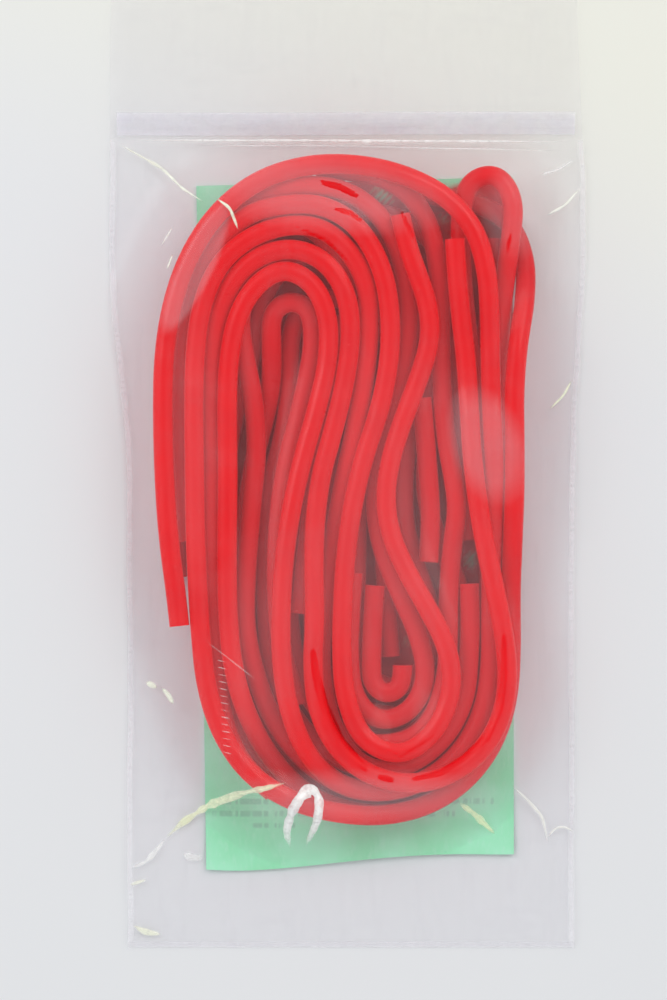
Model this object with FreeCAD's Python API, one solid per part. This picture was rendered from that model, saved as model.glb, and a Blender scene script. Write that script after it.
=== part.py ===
"""A hank of soft plastic worm in a grip seal pouch, with its backing card.

Lengths of soft cord lie folded in three layers on a card inside a clear pouch. The pouch is a
flat back film, a front film raised over the hank, side and bottom seals, and a press-to-close zip.
Above the zip the front film goes on as a lip that lifts away from the back film.

Frame: millimetres, +Z up, +Y towards the mouth of the pouch, origin under the middle of the pouch.
"""

import FreeCAD
import Part
import math
import os

V = FreeCAD.Vector

# ---- driving dimensions, mm ----
# pouch outline
pouch_length = 210.6
mouth_width = 105.0
foot_width = 99.2
foot_shift = 1.1
taper_top_y = 51.0
taper_bottom_y = -6.0

# films and seals
film = 0.2
seal_width = 1.2
seal_height = 0.3

# front film's raised form: the roof over the hank, and the flat rim outside its foot
hank_height = 14.6
roof_left = -42.9
roof_right = 42.3
roof_top_y = 70.6
roof_bottom_y = -78.4
roof_corner = 14.0
rim_left = 1.4
rim_right = 4.2
rim_top = 1.3
rim_bottom = 9.9
rim_corner = 16.0

# zip and the lip above it
lip_length = 27.7
zip_band_width = 5.0
zip_band = 0.3
bead_diameter = 0.7
bead_rise = 0.8
groove_clearance = 0.4
groove_wall = 0.35
groove_depth = 0.9
zip_headroom = 0.35
zip_end_inset = 1.6

# mouth of the pouch, below the zip
step_gap = 0.6
hinge_gap = 0.15
mouth_opening = 60.0

# backing card
card_width = 68.6
card_length = 152.0
card = 0.4
card_x = 2.6
card_y = -11.2
card_turn_deg = 1.2
loose_gap = 0.1

# worm cord
cord_diameter = 4.4
corner_share = 0.45

# ---- heights and lines worked out from them ----
half_length = pouch_length / 2
half_mouth = mouth_width / 2
foot_left = foot_shift - foot_width / 2
foot_right = foot_shift + foot_width / 2
card_z = film + loose_gap
roof_z = film + hank_height
bead_top_z = film + zip_band + bead_rise
lip_z = bead_top_z + zip_headroom + zip_band
zip_y = half_length - lip_length
front_edge_y = zip_y - zip_band_width / 2 - step_gap
lip_edge_y = front_edge_y + hinge_gap

# ---- cord routes: corner points from one cut end to the other, chosen by hand ----
LOW = 3.0
MID = 7.65
TOP = 12.3

# cut end right of the middle, round the lower loop, up the middle, over and down the left side
worm_1_route = [
    (23.9, 51.4, TOP), (24.3, 44.0, TOP), (25.2, 35.0, TOP), (26.4, 25.0, TOP), (27.1, 14.0, TOP),
    (27.7, 4.0, TOP), (28.9, -6.0, TOP), (30.6, -16.0, TOP), (33.0, -27.0, TOP), (35.2, -38.0, TOP),
    (35.6, -48.5, TOP), (32.6, -57.8, TOP), (26.0, -65.0, TOP), (16.5, -68.6, TOP), (6.6, -67.3, TOP),
    (-1.5, -61.6, TOP), (-6.3, -52.6, TOP), (-7.4, -42.5, TOP), (-6.8, -32.0, TOP), (-7.1, -21.5, TOP),
    (-6.9, -11.0, TOP), (-5.6, -0.5, TOP), (-2.9, 9.0, TOP), (-0.4, 19.0, TOP), (1.1, 29.0, TOP),
    (0.6, 38.4, TOP), (-3.6, 46.0, TOP), (-10.8, 49.6, TOP), (-18.6, 48.2, 12.0), (-24.7, 43.2, 10.8),
    (-28.5, 34.4, 9.7), (-29.7, 24.5, 9.2), (-29.8, 12.5, 9.1), (-29.6, 0.5, 9.1), (-29.6, -11.5, 9.0),
    (-29.3, -23.5, 8.9), (-28.9, -35.0, 8.5), (-28.2, -46.2, 7.9), (-26.4, -57.0, MID),
    (-22.4, -65.4, MID), (-16.2, -70.4, MID),
]

# cut end at the top middle, the S bend, the inner lower loop, up, over, and down one layer lower
worm_2_route = [
    (11.9, 56.8, TOP), (13.2, 50.6, TOP), (15.6, 44.0, TOP), (18.2, 36.6, TOP), (18.6, 29.0, TOP),
    (16.0, 20.8, TOP), (12.6, 12.0, TOP), (9.8, 3.5, TOP), (8.5, -5.0, TOP), (9.6, -13.4, TOP),
    (13.2, -21.5, TOP), (18.0, -29.8, TOP), (22.4, -38.2, TOP), (23.6, -47.4, TOP), (19.9, -57.0, TOP),
    (12.0, -62.6, TOP), (3.2, -58.6, TOP), (-0.4, -48.6, TOP), (-1.0, -38.6, TOP), (-0.7, -28.0, TOP),
    (-0.1, -18.4, TOP), (1.2, -8.0, TOP), (3.8, 3.4, TOP), (7.4, 13.6, TOP), (9.6, 24.4, TOP),
    (9.9, 34.6, TOP), (8.2, 44.8, TOP), (3.2, 54.0, TOP), (-4.6, 59.0, TOP), (-13.4, 59.2, TOP),
    (-22.2, 57.0, 10.7), (-28.4, 50.6, 8.8), (-33.0, 42.4, MID), (-35.6, 31.4, MID), (-36.4, 19.4, MID),
    (-36.5, 7.6, MID), (-35.8, -4.2, MID), (-34.8, -15.0, MID),
]

# under the lower loop, up the middle, over, down the left, round the outside, up the right side
worm_3_route = [
    (27.2, -24.4, MID), (27.5, -31.6, MID), (27.2, -40.4, MID), (26.5, -49.6, MID), (22.4, -58.0, MID),
    (15.6, -63.8, MID), (7.4, -66.4, MID), (0.0, -62.0, MID), (-4.0, -53.4, MID), (-5.6, -44.4, MID),
    (-5.4, -35.4, MID), (-4.4, -26.4, MID), (-3.2, -18.6, MID), (-2.0, -10.0, 7.9), (-0.4, -1.4, 8.7),
    (1.8, 8.6, 9.5), (4.1, 20.0, 9.8), (5.2, 30.6, 9.8), (4.9, 40.8, 10.2), (1.0, 48.8, 11.2),
    (-5.4, 54.2, TOP), (-13.6, 54.6, TOP), (-21.8, 51.6, TOP), (-28.2, 45.8, TOP), (-32.0, 36.6, TOP),
    (-33.3, 25.6, TOP), (-33.5, 13.6, TOP), (-33.3, 1.4, TOP), (-33.2, -11.0, TOP), (-32.7, -23.0, TOP),
    (-32.0, -35.0, TOP), (-30.8, -47.0, TOP), (-27.4, -57.6, TOP), (-21.0, -66.6, TOP),
    (-12.0, -72.2, TOP), (-2.0, -75.0, 10.2), (8.4, -75.8, MID), (18.4, -73.4, MID), (26.8, -67.8, MID),
    (32.8, -59.6, MID), (35.9, -49.6, MID), (36.5, -38.6, MID), (36.3, -27.4, MID), (36.7, -16.2, 8.6),
    (37.1, -5.0, 11.0), (37.1, 6.4, TOP), (36.9, 17.8, TOP), (37.8, 28.6, 11.8), (39.6, 38.2, 8.4),
    (39.8, 47.6, 4.4), (36.4, 55.8, LOW), (29.4, 59.8, LOW), (21.4, 61.0, LOW), (14.0, 62.4, LOW),
]

# cut end low on the left, outermost arc, down the right, along the bottom, up and over the innermost
# arc, down the left again and round the bottom in the lowest layer
worm_4_route = [
    (-36.6, -33.6, TOP), (-37.4, -26.0, TOP), (-38.7, -17.0, TOP), (-39.6, -7.0, TOP),
    (-40.1, 4.0, TOP), (-40.3, 15.4, TOP), (-40.0, 26.6, TOP), (-38.2, 37.6, TOP), (-34.6, 47.8, TOP),
    (-28.4, 57.4, TOP), (-19.6, 64.4, TOP), (-9.0, 67.8, TOP), (2.0, 68.0, TOP), (12.4, 65.8, TOP),
    (21.8, 61.2, TOP), (28.4, 53.8, TOP), (31.0, 44.6, TOP), (31.6, 35.0, TOP), (31.7, 25.2, TOP),
    (31.9, 15.6, TOP), (32.4, 6.6, TOP), (32.7, -2.4, 10.2), (32.5, -12.0, 7.9), (32.0, -22.0, MID),
    (31.9, -32.0, MID), (32.0, -42.4, MID), (30.4, -52.8, MID), (25.6, -61.6, MID), (18.0, -68.0, MID),
    (8.0, -70.8, MID), (-1.2, -69.2, 8.4), (-8.4, -62.6, 11.2), (-12.4, -53.2, TOP), (-14.2, -42.4, TOP),
    (-14.4, -31.2, TOP), (-13.8, -19.8, TOP), (-12.2, -8.4, TOP), (-9.6, 3.0, TOP), (-6.4, 14.0, TOP),
    (-3.9, 24.4, TOP), (-3.7, 34.0, TOP), (-7.0, 41.8, TOP), (-13.6, 45.2, TOP), (-19.8, 41.6, TOP),
    (-24.1, 34.4, TOP), (-25.9, 24.6, TOP), (-26.2, 13.4, TOP), (-26.0, 1.8, TOP), (-26.1, -9.6, TOP),
    (-26.2, -20.8, TOP), (-26.0, -32.2, TOP), (-24.8, -43.6, TOP), (-21.6, -54.2, 9.4),
    (-16.6, -63.4, 5.4), (-9.0, -71.2, LOW), (1.0, -75.2, LOW), (11.6, -75.6, LOW), (21.6, -71.8, LOW),
    (29.6, -64.6, LOW), (34.6, -54.8, LOW), (36.5, -43.6, LOW), (36.3, -32.0, LOW), (36.7, -20.6, LOW),
    (37.1, -9.6, LOW),
]

# low along the left side, over the top between the outer arcs, under the S bend, deep lower loop
worm_5_route = [
    (-37.4, -23.0, LOW), (-37.8, -13.0, LOW), (-37.9, -2.4, LOW), (-38.0, 8.8, LOW), (-38.0, 20.4, LOW),
    (-37.4, 31.6, LOW), (-35.4, 42.0, LOW), (-31.4, 51.0, 4.0), (-25.6, 58.0, 6.0), (-17.8, 61.8, 8.6),
    (-8.4, 63.8, 10.3), (0.6, 62.2, 10.2), (7.8, 56.8, 9.2), (12.0, 49.0, MID), (13.7, 40.0, MID),
    (13.9, 30.4, MID), (12.4, 20.4, MID), (9.8, 10.6, MID), (7.0, 1.0, MID), (6.3, -8.6, MID),
    (8.2, -18.0, MID), (12.2, -27.2, MID), (16.2, -36.0, MID), (18.0, -45.0, MID), (14.6, -52.6, MID),
    (7.4, -55.2, MID), (1.6, -49.8, MID), (0.6, -40.2, MID), (1.0, -30.6, MID), (1.6, -22.0, MID),
]

# from under the outer arc down between the right hand legs, under the S bend's lower turn
worm_6_route = [
    (-6.6, 67.0, MID), (3.0, 66.9, MID), (12.2, 63.6, MID), (18.0, 56.4, MID), (20.2, 47.2, MID),
    (20.8, 37.6, MID), (20.9, 27.4, MID), (21.2, 17.2, MID), (22.2, 7.0, MID), (24.0, -2.6, 8.6),
    (24.6, -8.4, 8.8), (23.4, -16.4, MID), (22.6, -26.0, MID), (22.6, -36.0, MID), (22.2, -45.6, MID),
    (19.0, -54.8, MID), (12.8, -59.9, MID), (6.6, -59.8, MID),
]

# small folded loop at the top right, down the right side in the lowest layer, up the left inside
worm_7_route = [
    (28.7, 0.0, MID), (28.5, 10.0, MID), (28.0, 20.4, MID), (26.9, 30.6, MID),
    (25.8, 40.0, MID), (25.3, 48.6, MID), (25.2, 57.4, MID), (27.2, 64.6, 7.9), (33.4, 66.2, 9.0),
    (37.2, 60.0, 9.6), (36.2, 50.6, 9.0), (34.8, 40.6, MID), (33.9, 30.8, MID), (33.2, 20.6, 6.6),
    (33.0, 10.4, 4.2), (33.0, 0.0, LOW), (32.3, -10.8, LOW), (31.7, -21.8, LOW), (31.7, -32.2, LOW),
    (32.0, -42.6, LOW), (30.2, -53.4, LOW), (25.0, -62.4, LOW), (16.8, -68.8, LOW), (6.8, -70.8, LOW),
    (-3.0, -68.6, LOW), (-10.8, -62.4, 3.2), (-16.6, -54.0, 5.4), (-20.0, -44.6, MID),
    (-22.2, -35.0, MID), (-22.2, -25.0, MID), (-21.5, -15.0, MID), (-20.6, -4.8, MID), (-19.6, 5.2, MID),
    (-20.2, 15.4, MID), (-22.2, 25.0, MID), (-23.6, 33.4, 7.4), (-22.2, 41.8, 6.9), (-16.8, 47.4, 7.4),
    (-9.4, 48.8, MID),
]

# the lowest layer, three turns
worm_8_route = [
    (21.2, -50.6, LOW), (16.2, -58.0, LOW), (7.4, -60.6, LOW), (-1.6, -57.4, LOW), (-8.2, -50.2, LOW),
    (-11.7, -40.6, LOW), (-12.8, -30.2, LOW), (-12.7, -19.0, LOW), (-11.2, -7.6, LOW),
    (-9.0, 3.6, LOW), (-7.5, 14.4, LOW), (-7.2, 22.6, LOW), (-7.1, 29.6, LOW), (-3.9, 32.9, LOW),
    (0.6, 32.9, LOW), (3.8, 29.6, LOW), (4.0, 22.4, LOW), (3.4, 13.8, LOW), (2.6, 5.0, LOW), (2.2, -4.2, LOW), (2.5, -13.0, LOW), (2.4, -22.6, LOW), (2.2, -32.4, LOW), (3.0, -41.6, LOW), (7.6, -47.8, LOW),
    (15.0, -46.8, LOW), (19.2, -39.4, LOW), (18.8, -29.8, LOW), (15.6, -20.6, LOW), (12.9, -11.4, LOW),
    (12.8, -2.0, LOW), (13.6, 8.0, LOW), (13.4, 18.4, LOW), (10.8, 28.2, LOW), (5.0, 36.0, LOW),
    (-3.0, 39.6, LOW), (-10.4, 36.8, LOW), (-12.6, 28.8, LOW), (-12.4, 19.2, LOW), (-13.6, 9.2, LOW),
    (-16.2, -0.6, LOW), (-17.7, -11.0, LOW), (-17.8, -21.6, LOW), (-17.7, -32.4, LOW),
    (-16.6, -43.2, LOW), (-12.6, -53.0, LOW), (-6.2, -60.4, LOW), (2.0, -65.4, LOW), (11.6, -65.6, LOW),
    (20.0, -60.8, LOW), (25.3, -52.8, LOW), (27.2, -43.2, LOW), (26.8, -33.0, LOW), (24.4, -22.8, LOW),
    (20.2, -14.4, LOW), (17.4, -5.0, LOW), (17.9, 5.6, LOW), (19.0, 16.4, LOW), (18.4, 27.4, LOW),
    (15.0, 37.4, LOW), (8.6, 45.4, LOW), (-0.4, 49.4, LOW), (-10.0, 48.6, LOW), (-17.2, 42.4, LOW),
    (-19.6, 33.2, LOW), (-21.4, 23.4, LOW), (-24.6, 13.6, LOW), (-26.6, 3.0, LOW), (-27.2, -7.4, LOW),
]

# lowest layer, from the right side over the top and down the left side
worm_9_route = [
    (27.2, -14.8, LOW), (26.2, -6.0, LOW), (25.5, 4.4, LOW), (25.1, 15.0, LOW), (25.0, 26.0, LOW),
    (24.3, 37.0, LOW), (22.2, 47.0, LOW), (16.8, 54.2, LOW), (8.8, 57.6, LOW), (-0.6, 58.2, LOW),
    (-10.4, 57.4, LOW), (-18.8, 53.6, LOW), (-24.6, 46.8, LOW), (-28.0, 38.0, LOW),
    (-30.4, 28.4, LOW), (-32.0, 18.6, LOW), (-32.7, 8.0, LOW), (-32.6, -3.0, LOW),
    (-31.2, -13.0, LOW), (-29.2, -23.0, LOW), (-28.1, -33.2, LOW), (-27.0, -43.6, LOW),
    (-24.2, -53.2, LOW),
]

# lowest layer, down inside the third turn of the one above
worm_10_route = [
    (-1.9, 24.0, LOW), (-2.4, 14.8, LOW), (-3.6, 5.0, LOW), (-5.2, -5.0, LOW), (-6.9, -15.0, LOW),
    (-7.5, -25.0, LOW), (-7.3, -34.4, LOW), (-5.9, -43.0, LOW), (-1.6, -49.6, LOW),
    (4.4, -53.2, LOW), (10.4, -53.7, LOW),
]

# lowest layer up the left side, a small arch in the upper hole, down its right side
worm_11_route = [
    (-21.8, -44.0, LOW), (-22.6, -34.0, LOW), (-22.8, -24.2, LOW), (-22.6, -14.2, LOW),
    (-21.6, -4.4, LOW), (-19.8, 5.4, LOW), (-17.5, 13.8, 3.3), (-16.4, 21.0, 5.5),
    (-16.4, 28.0, MID), (-16.6, 34.7, MID), (-13.9, 37.6, MID), (-10.2, 37.7, MID), (-7.5, 35.0, MID),
    (-7.2, 27.8, MID),
    (-8.7, 19.8, MID), (-10.6, 12.0, MID), (-12.7, 4.4, MID), (-14.4, -4.8, MID), (-15.2, -14.6, MID),
    (-15.4, -24.6, MID), (-14.9, -34.4, MID), (-13.2, -43.6, MID), (-10.6, -51.2, MID),
]

# lowest layer, beside the lower hole
worm_12_route = [
    (9.9, -40.6, LOW), (9.2, -31.6, LOW), (8.8, -23.0, LOW), (8.2, -14.0, LOW), (7.7, -4.0, LOW),
    (8.0, 6.0, LOW), (8.5, 13.6, LOW), (8.3, 19.6, LOW),
]

# middle layer, over the top inside the second turn, down the middle
worm_13_route = [
    (-21.6, 49.2, MID), (-17.6, 53.4, MID), (-12.0, 55.4, MID), (-6.3, 53.6, MID), (-2.4, 48.2, MID),
    (0.1, 40.6, MID), (0.8, 32.4, MID), (0.0, 24.0, MID), (-3.0, 13.0, MID), (-5.8, 2.0, MID),
    (-7.8, -10.0, MID), (-9.0, -20.0, MID), (-10.0, -31.0, MID),
]

# middle layer, beside the bend in the middle of the right half
worm_14_route = [
    (16.7, 16.6, MID), (17.6, 6.6, MID), (18.4, -3.4, MID), (18.8, -11.4, MID), (18.2, -19.6, MID),
]

# middle layer, hooked round inside the lower hole
worm_15_route = [
    (6.4, -24.8, MID), (6.0, -31.4, MID), (5.7, -37.6, MID), (5.6, -42.3, MID), (5.7, -46.0, MID),
    (7.75, -48.4, MID), (10.65, -48.4, MID), (12.5, -46.0, MID), (12.5, -42.4, MID),
]

# lowest layer, under the right side's upper half
worm_16_route = [
    (32.2, 52.0, LOW), (32.0, 44.0, LOW), (31.7, 36.0, LOW), (30.9, 28.0, LOW), (29.9, 20.4, LOW),
]

worm_routes = [worm_1_route, worm_2_route, worm_3_route, worm_4_route, worm_5_route, worm_6_route,
               worm_7_route, worm_8_route, worm_9_route, worm_10_route, worm_11_route, worm_12_route,
               worm_13_route, worm_14_route, worm_15_route, worm_16_route]


def box(x0, x1, y0, y1, z0, z1):
    """An upright box between two corners."""
    return Part.makeBox(x1 - x0, y1 - y0, z1 - z0, V(x0, y0, z0))


def plate(points, z0, height):
    """A flat plate with the outline that points give."""
    corners = [V(x, y, z0) for x, y in points]
    return Part.Face(Part.makePolygon(corners + corners[:1])).extrude(V(0, 0, height))


def rounded_outline(x0, x1, y0, y1, radius, z):
    """A closed wire: a rectangle with round corners at height z."""
    edges = []
    centres = [(x1 - radius, y1 - radius, 0), (x0 + radius, y1 - radius, 90),
               (x0 + radius, y0 + radius, 180), (x1 - radius, y0 + radius, 270)]
    arcs = [Part.makeCircle(radius, V(cx, cy, z), V(0, 0, 1), turn, turn + 90) for cx, cy, turn in centres]
    for arc, following in zip(arcs, arcs[1:] + arcs[:1]):
        arc_end = arc.valueAt(arc.LastParameter)
        edges.append(arc)
        edges.append(Part.makeLine(arc_end, following.valueAt(following.FirstParameter)))
    return Part.Wire(edges)


def pouch_outline(inset, top_y, bottom_y):
    """The pouch's outline: full width at the mouth, drawn in beside the hank."""
    left_mouth = -half_mouth + inset
    right_mouth = half_mouth - inset
    left_foot = foot_left + inset
    right_foot = foot_right - inset
    return [(left_mouth, top_y), (left_mouth, taper_top_y), (left_foot, taper_bottom_y),
            (left_foot, bottom_y), (right_foot, bottom_y), (right_foot, taper_bottom_y),
            (right_mouth, taper_top_y), (right_mouth, top_y)]


def make_back_film():
    """The back film, from the foot of the pouch to the edge of the back lip."""
    return plate(pouch_outline(0, half_length, -half_length), 0, film)


def raised_form(offset, base_z, top_z):
    """The solid form of the raised front film, moved inwards by offset."""
    base_left = max(foot_left, -half_mouth) + rim_left
    base_right = min(foot_right, half_mouth) - rim_right
    base = rounded_outline(base_left + offset, base_right - offset,
                           -half_length + rim_bottom + offset, front_edge_y - rim_top - offset,
                           rim_corner - offset, base_z)
    roof = rounded_outline(roof_left + offset, roof_right - offset, roof_bottom_y + offset,
                           roof_top_y - offset, roof_corner - offset, top_z)
    return Part.makeLoft([base, roof], True, True)


def make_front_film():
    """The front film: raised over the hank, flat at its rim, stepped up to the zip's height."""
    outer = raised_form(0, film, roof_z + film)
    inner = raised_form(film, film, roof_z)
    rim_points = pouch_outline(seal_width, front_edge_y, -half_length + seal_width)
    rim = plate(rim_points, film, film)
    inside = half_mouth - seal_width
    step = box(-inside, inside, front_edge_y - film, front_edge_y, film, lip_z)
    shoulder_y = (roof_top_y + front_edge_y) / 2
    shoulder = box(-inside, inside, shoulder_y, front_edge_y, lip_z, lip_z + film)
    mouth = box(-mouth_opening / 2, mouth_opening / 2, roof_top_y, front_edge_y + film, film, lip_z)
    return rim.fuse([outer, step, shoulder]).cut(inner).cut(mouth).removeSplitter()


def side_seal(side):
    """A side seal, from the foot to the zip; side is -1 for left and 1 for right."""
    outer = pouch_outline(0, front_edge_y, -half_length + seal_width)
    inner = pouch_outline(seal_width, front_edge_y, -half_length + seal_width)
    if side < 0:
        points = outer[:4] + inner[3::-1]
    else:
        points = outer[4:] + inner[:3:-1]
    return plate(points, film, seal_height)


def make_bottom_seal():
    """The seal across the foot of the pouch."""
    return box(foot_left, foot_right, -half_length, -half_length + seal_width, film, film + seal_height)


def make_zip_rib():
    """The zip's half on the back film: a band with a round bead along it."""
    x_end = half_mouth - zip_end_inset
    band = box(-x_end, x_end, zip_y - zip_band_width / 2, zip_y + zip_band_width / 2, film, film + zip_band)
    bead_z = bead_top_z - bead_diameter / 2
    stem = box(-x_end, x_end, zip_y - bead_diameter / 2, zip_y + bead_diameter / 2, film + zip_band, bead_z)
    bead = Part.makeCylinder(bead_diameter / 2, 2 * x_end, V(-x_end, zip_y, bead_z), V(1, 0, 0))
    return band.fuse([stem, bead]).removeSplitter()


def make_zip_channel():
    """The zip's half on the front lip: a band with two walls that take the bead between them."""
    x_end = half_mouth - zip_end_inset
    band_z = lip_z - zip_band
    channel = box(-x_end, x_end, zip_y - zip_band_width / 2, zip_y + zip_band_width / 2, band_z, lip_z)
    inner = bead_diameter / 2 + groove_clearance
    walls = [box(-x_end, x_end, zip_y + near, zip_y + near + groove_wall, band_z - groove_depth, band_z)
             for near in (inner, -inner - groove_wall)]
    return channel.fuse(walls).removeSplitter()


def make_front_lip():
    """The front film above the zip, which lifts to open the pouch."""
    return box(-half_mouth, half_mouth, lip_edge_y, half_length, lip_z, lip_z + film)


def make_card():
    """The backing card, lying a little turned on the back film."""
    sheet = box(-card_width / 2, card_width / 2, -card_length / 2, card_length / 2, 0, card)
    sheet.rotate(V(0, 0, 0), V(0, 0, 1), card_turn_deg)
    sheet.translate(V(card_x, card_y, card_z))
    return sheet


def cord_path(route):
    """Straight runs joined by tangent arcs, each as large as its two runs allow; and the radii."""
    points = [V(*point) for point in route]
    edges = []
    radii = []
    start = points[0]
    for before, corner, after in zip(points, points[1:], points[2:]):
        back = (before - corner).normalize()
        ahead = (after - corner).normalize()
        cut = corner_share * min((before - corner).Length, (after - corner).Length)
        half_turn = (math.pi - back.getAngle(ahead)) / 2
        radius = cut / math.tan(half_turn)
        arc_start = corner + back * cut
        arc_end = corner + ahead * cut
        inward = (back + ahead).normalize()
        arc_middle = corner + inward * (radius / math.cos(half_turn) - radius)
        edges.append(Part.LineSegment(start, arc_start).toShape())
        edges.append(Part.Arc(arc_start, arc_middle, arc_end).toShape())
        radii.append(radius)
        start = arc_end
    edges.append(Part.LineSegment(start, points[-1]).toShape())
    return Part.Wire(edges), radii


def make_worm(route):
    """One length of cord: a round section swept along its route, cut square at both ends."""
    path, radii = cord_path(route)
    first = V(*route[0])
    section = Part.Wire(Part.makeCircle(cord_diameter / 2, first, V(*route[1]) - first))
    cord = path.makePipeShell([section], True, False)
    return cord, path.Length, radii


def main():
    """Build every node and write it to parts/."""
    os.makedirs("parts", exist_ok=True)
    nodes = {
        "back_film": make_back_film(),
        "front_film": make_front_film(),
        "front_lip": make_front_lip(),
        "left_seal": side_seal(-1),
        "right_seal": side_seal(1),
        "bottom_seal": make_bottom_seal(),
        "zip_rib": make_zip_rib(),
        "zip_channel": make_zip_channel(),
        "backing_card": make_card(),
    }
    section_area = math.pi * cord_diameter ** 2 / 4
    for number, route in enumerate(worm_routes, 1):
        cord, length, radii = make_worm(route)
        nodes["worm_%d" % number] = cord
        share = cord.Volume / (section_area * length)
        print("worm_%d length %.0f mm, volume / (section x length) %.4f" % (number, length, share))
        print("  arc radii:", " ".join("%.0f" % radius for radius in radii))
    for name, shape in nodes.items():
        shape.exportStep("parts/%s.step" % name)
        print(name, "valid", shape.isValid(), "solids", len(shape.Solids), "volume %.1f" % shape.Volume)


main()
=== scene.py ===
"""Looks for a hank of soft plastic worm cord in a clear grip seal pouch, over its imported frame.

Lengths of soft red cord lie folded in three layers on a pale green card. A clear film pouch
is drawn over them: its front film rests on the cords, is creased round them and goes on above the
zip as the lip that lifts.

Every length below is in millimetres, as in the part's source, and becomes metres in a mesh.
"""

import logging
from dataclasses import dataclass, field
from enum import Enum
from typing import Any, Optional, Sequence

import bpy
import numpy as np
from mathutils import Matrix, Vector, noise


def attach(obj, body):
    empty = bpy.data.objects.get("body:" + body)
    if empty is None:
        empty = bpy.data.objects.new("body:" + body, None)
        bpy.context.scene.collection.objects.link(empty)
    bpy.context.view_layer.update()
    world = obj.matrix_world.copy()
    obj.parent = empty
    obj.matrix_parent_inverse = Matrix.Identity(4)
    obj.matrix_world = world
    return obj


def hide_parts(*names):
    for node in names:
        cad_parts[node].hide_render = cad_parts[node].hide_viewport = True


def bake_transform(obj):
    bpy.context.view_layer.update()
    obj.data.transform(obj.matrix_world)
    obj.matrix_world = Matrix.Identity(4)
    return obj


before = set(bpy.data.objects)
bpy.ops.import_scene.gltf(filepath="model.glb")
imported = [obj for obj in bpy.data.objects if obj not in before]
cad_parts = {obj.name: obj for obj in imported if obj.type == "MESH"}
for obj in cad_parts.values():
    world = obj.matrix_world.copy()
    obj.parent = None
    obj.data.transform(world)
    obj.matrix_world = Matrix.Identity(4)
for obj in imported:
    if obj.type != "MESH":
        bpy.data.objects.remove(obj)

logging.basicConfig(level=logging.INFO, format="%(message)s")
LOG = logging.getLogger("worm_hank")

MM = 0.001
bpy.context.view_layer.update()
Point = tuple[float, float, float]
Spot = tuple[float, float]
Colour = tuple[float, float, float]


class Body(Enum):
    """The two bodies that the lip's hinge joins."""

    POUCH = "pouch"
    LIP = "lip"


class Slot(Enum):
    """The material slots of the record."""

    WORM = "red_worm"
    FILM = "clear_film"
    WELD = "sealed_film"
    ZIP = "zip_plastic"
    CARD = "green_card"


# heights of the hank's three layers
LOW = 3.0
MID = 7.65
TOP = 12.3

# cut end right of the middle, round the lower loop, up the middle, over and down the left side
WORM_1_ROUTE = [
    (23.9, 51.4, TOP), (24.3, 44.0, TOP), (25.2, 35.0, TOP), (26.4, 25.0, TOP), (27.1, 14.0, TOP),
    (27.7, 4.0, TOP), (28.9, -6.0, TOP), (30.6, -16.0, TOP), (33.0, -27.0, TOP), (35.2, -38.0, TOP),
    (35.6, -48.5, TOP), (32.6, -57.8, TOP), (26.0, -65.0, TOP), (16.5, -68.6, TOP), (6.6, -67.3, TOP),
    (-1.5, -61.6, TOP), (-6.3, -52.6, TOP), (-7.4, -42.5, TOP), (-6.8, -32.0, TOP), (-7.1, -21.5, TOP),
    (-6.9, -11.0, TOP), (-5.6, -0.5, TOP), (-2.9, 9.0, TOP), (-0.4, 19.0, TOP), (1.1, 29.0, TOP),
    (0.6, 38.4, TOP), (-3.6, 46.0, TOP), (-10.8, 49.6, TOP), (-18.6, 48.2, 12.0), (-24.7, 43.2, 10.8),
    (-28.5, 34.4, 9.7), (-29.7, 24.5, 9.2), (-29.8, 12.5, 9.1), (-29.6, 0.5, 9.1), (-29.6, -11.5, 9.0),
    (-29.3, -23.5, 8.9), (-28.9, -35.0, 8.5), (-28.2, -46.2, 7.9), (-26.4, -57.0, MID),
    (-22.4, -65.4, MID), (-16.2, -70.4, MID),
]

# cut end at the top middle, the S bend, the inner lower loop, up, over, and down one layer lower
WORM_2_ROUTE = [
    (11.9, 56.8, TOP), (13.2, 50.6, TOP), (15.6, 44.0, TOP), (18.2, 36.6, TOP), (18.6, 29.0, TOP),
    (16.0, 20.8, TOP), (12.6, 12.0, TOP), (9.8, 3.5, TOP), (8.5, -5.0, TOP), (9.6, -13.4, TOP),
    (13.2, -21.5, TOP), (18.0, -29.8, TOP), (22.4, -38.2, TOP), (23.6, -47.4, TOP), (19.9, -57.0, TOP),
    (12.0, -62.6, TOP), (3.2, -58.6, TOP), (-0.4, -48.6, TOP), (-1.0, -38.6, TOP), (-0.7, -28.0, TOP),
    (-0.1, -18.4, TOP), (1.2, -8.0, TOP), (3.8, 3.4, TOP), (7.4, 13.6, TOP), (9.6, 24.4, TOP),
    (9.9, 34.6, TOP), (8.2, 44.8, TOP), (3.2, 54.0, TOP), (-4.6, 59.0, TOP), (-13.4, 59.2, TOP),
    (-22.2, 57.0, 10.7), (-28.4, 50.6, 8.8), (-33.0, 42.4, MID), (-35.6, 31.4, MID), (-36.4, 19.4, MID),
    (-36.5, 7.6, MID), (-35.8, -4.2, MID), (-34.8, -15.0, MID),
]

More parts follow.
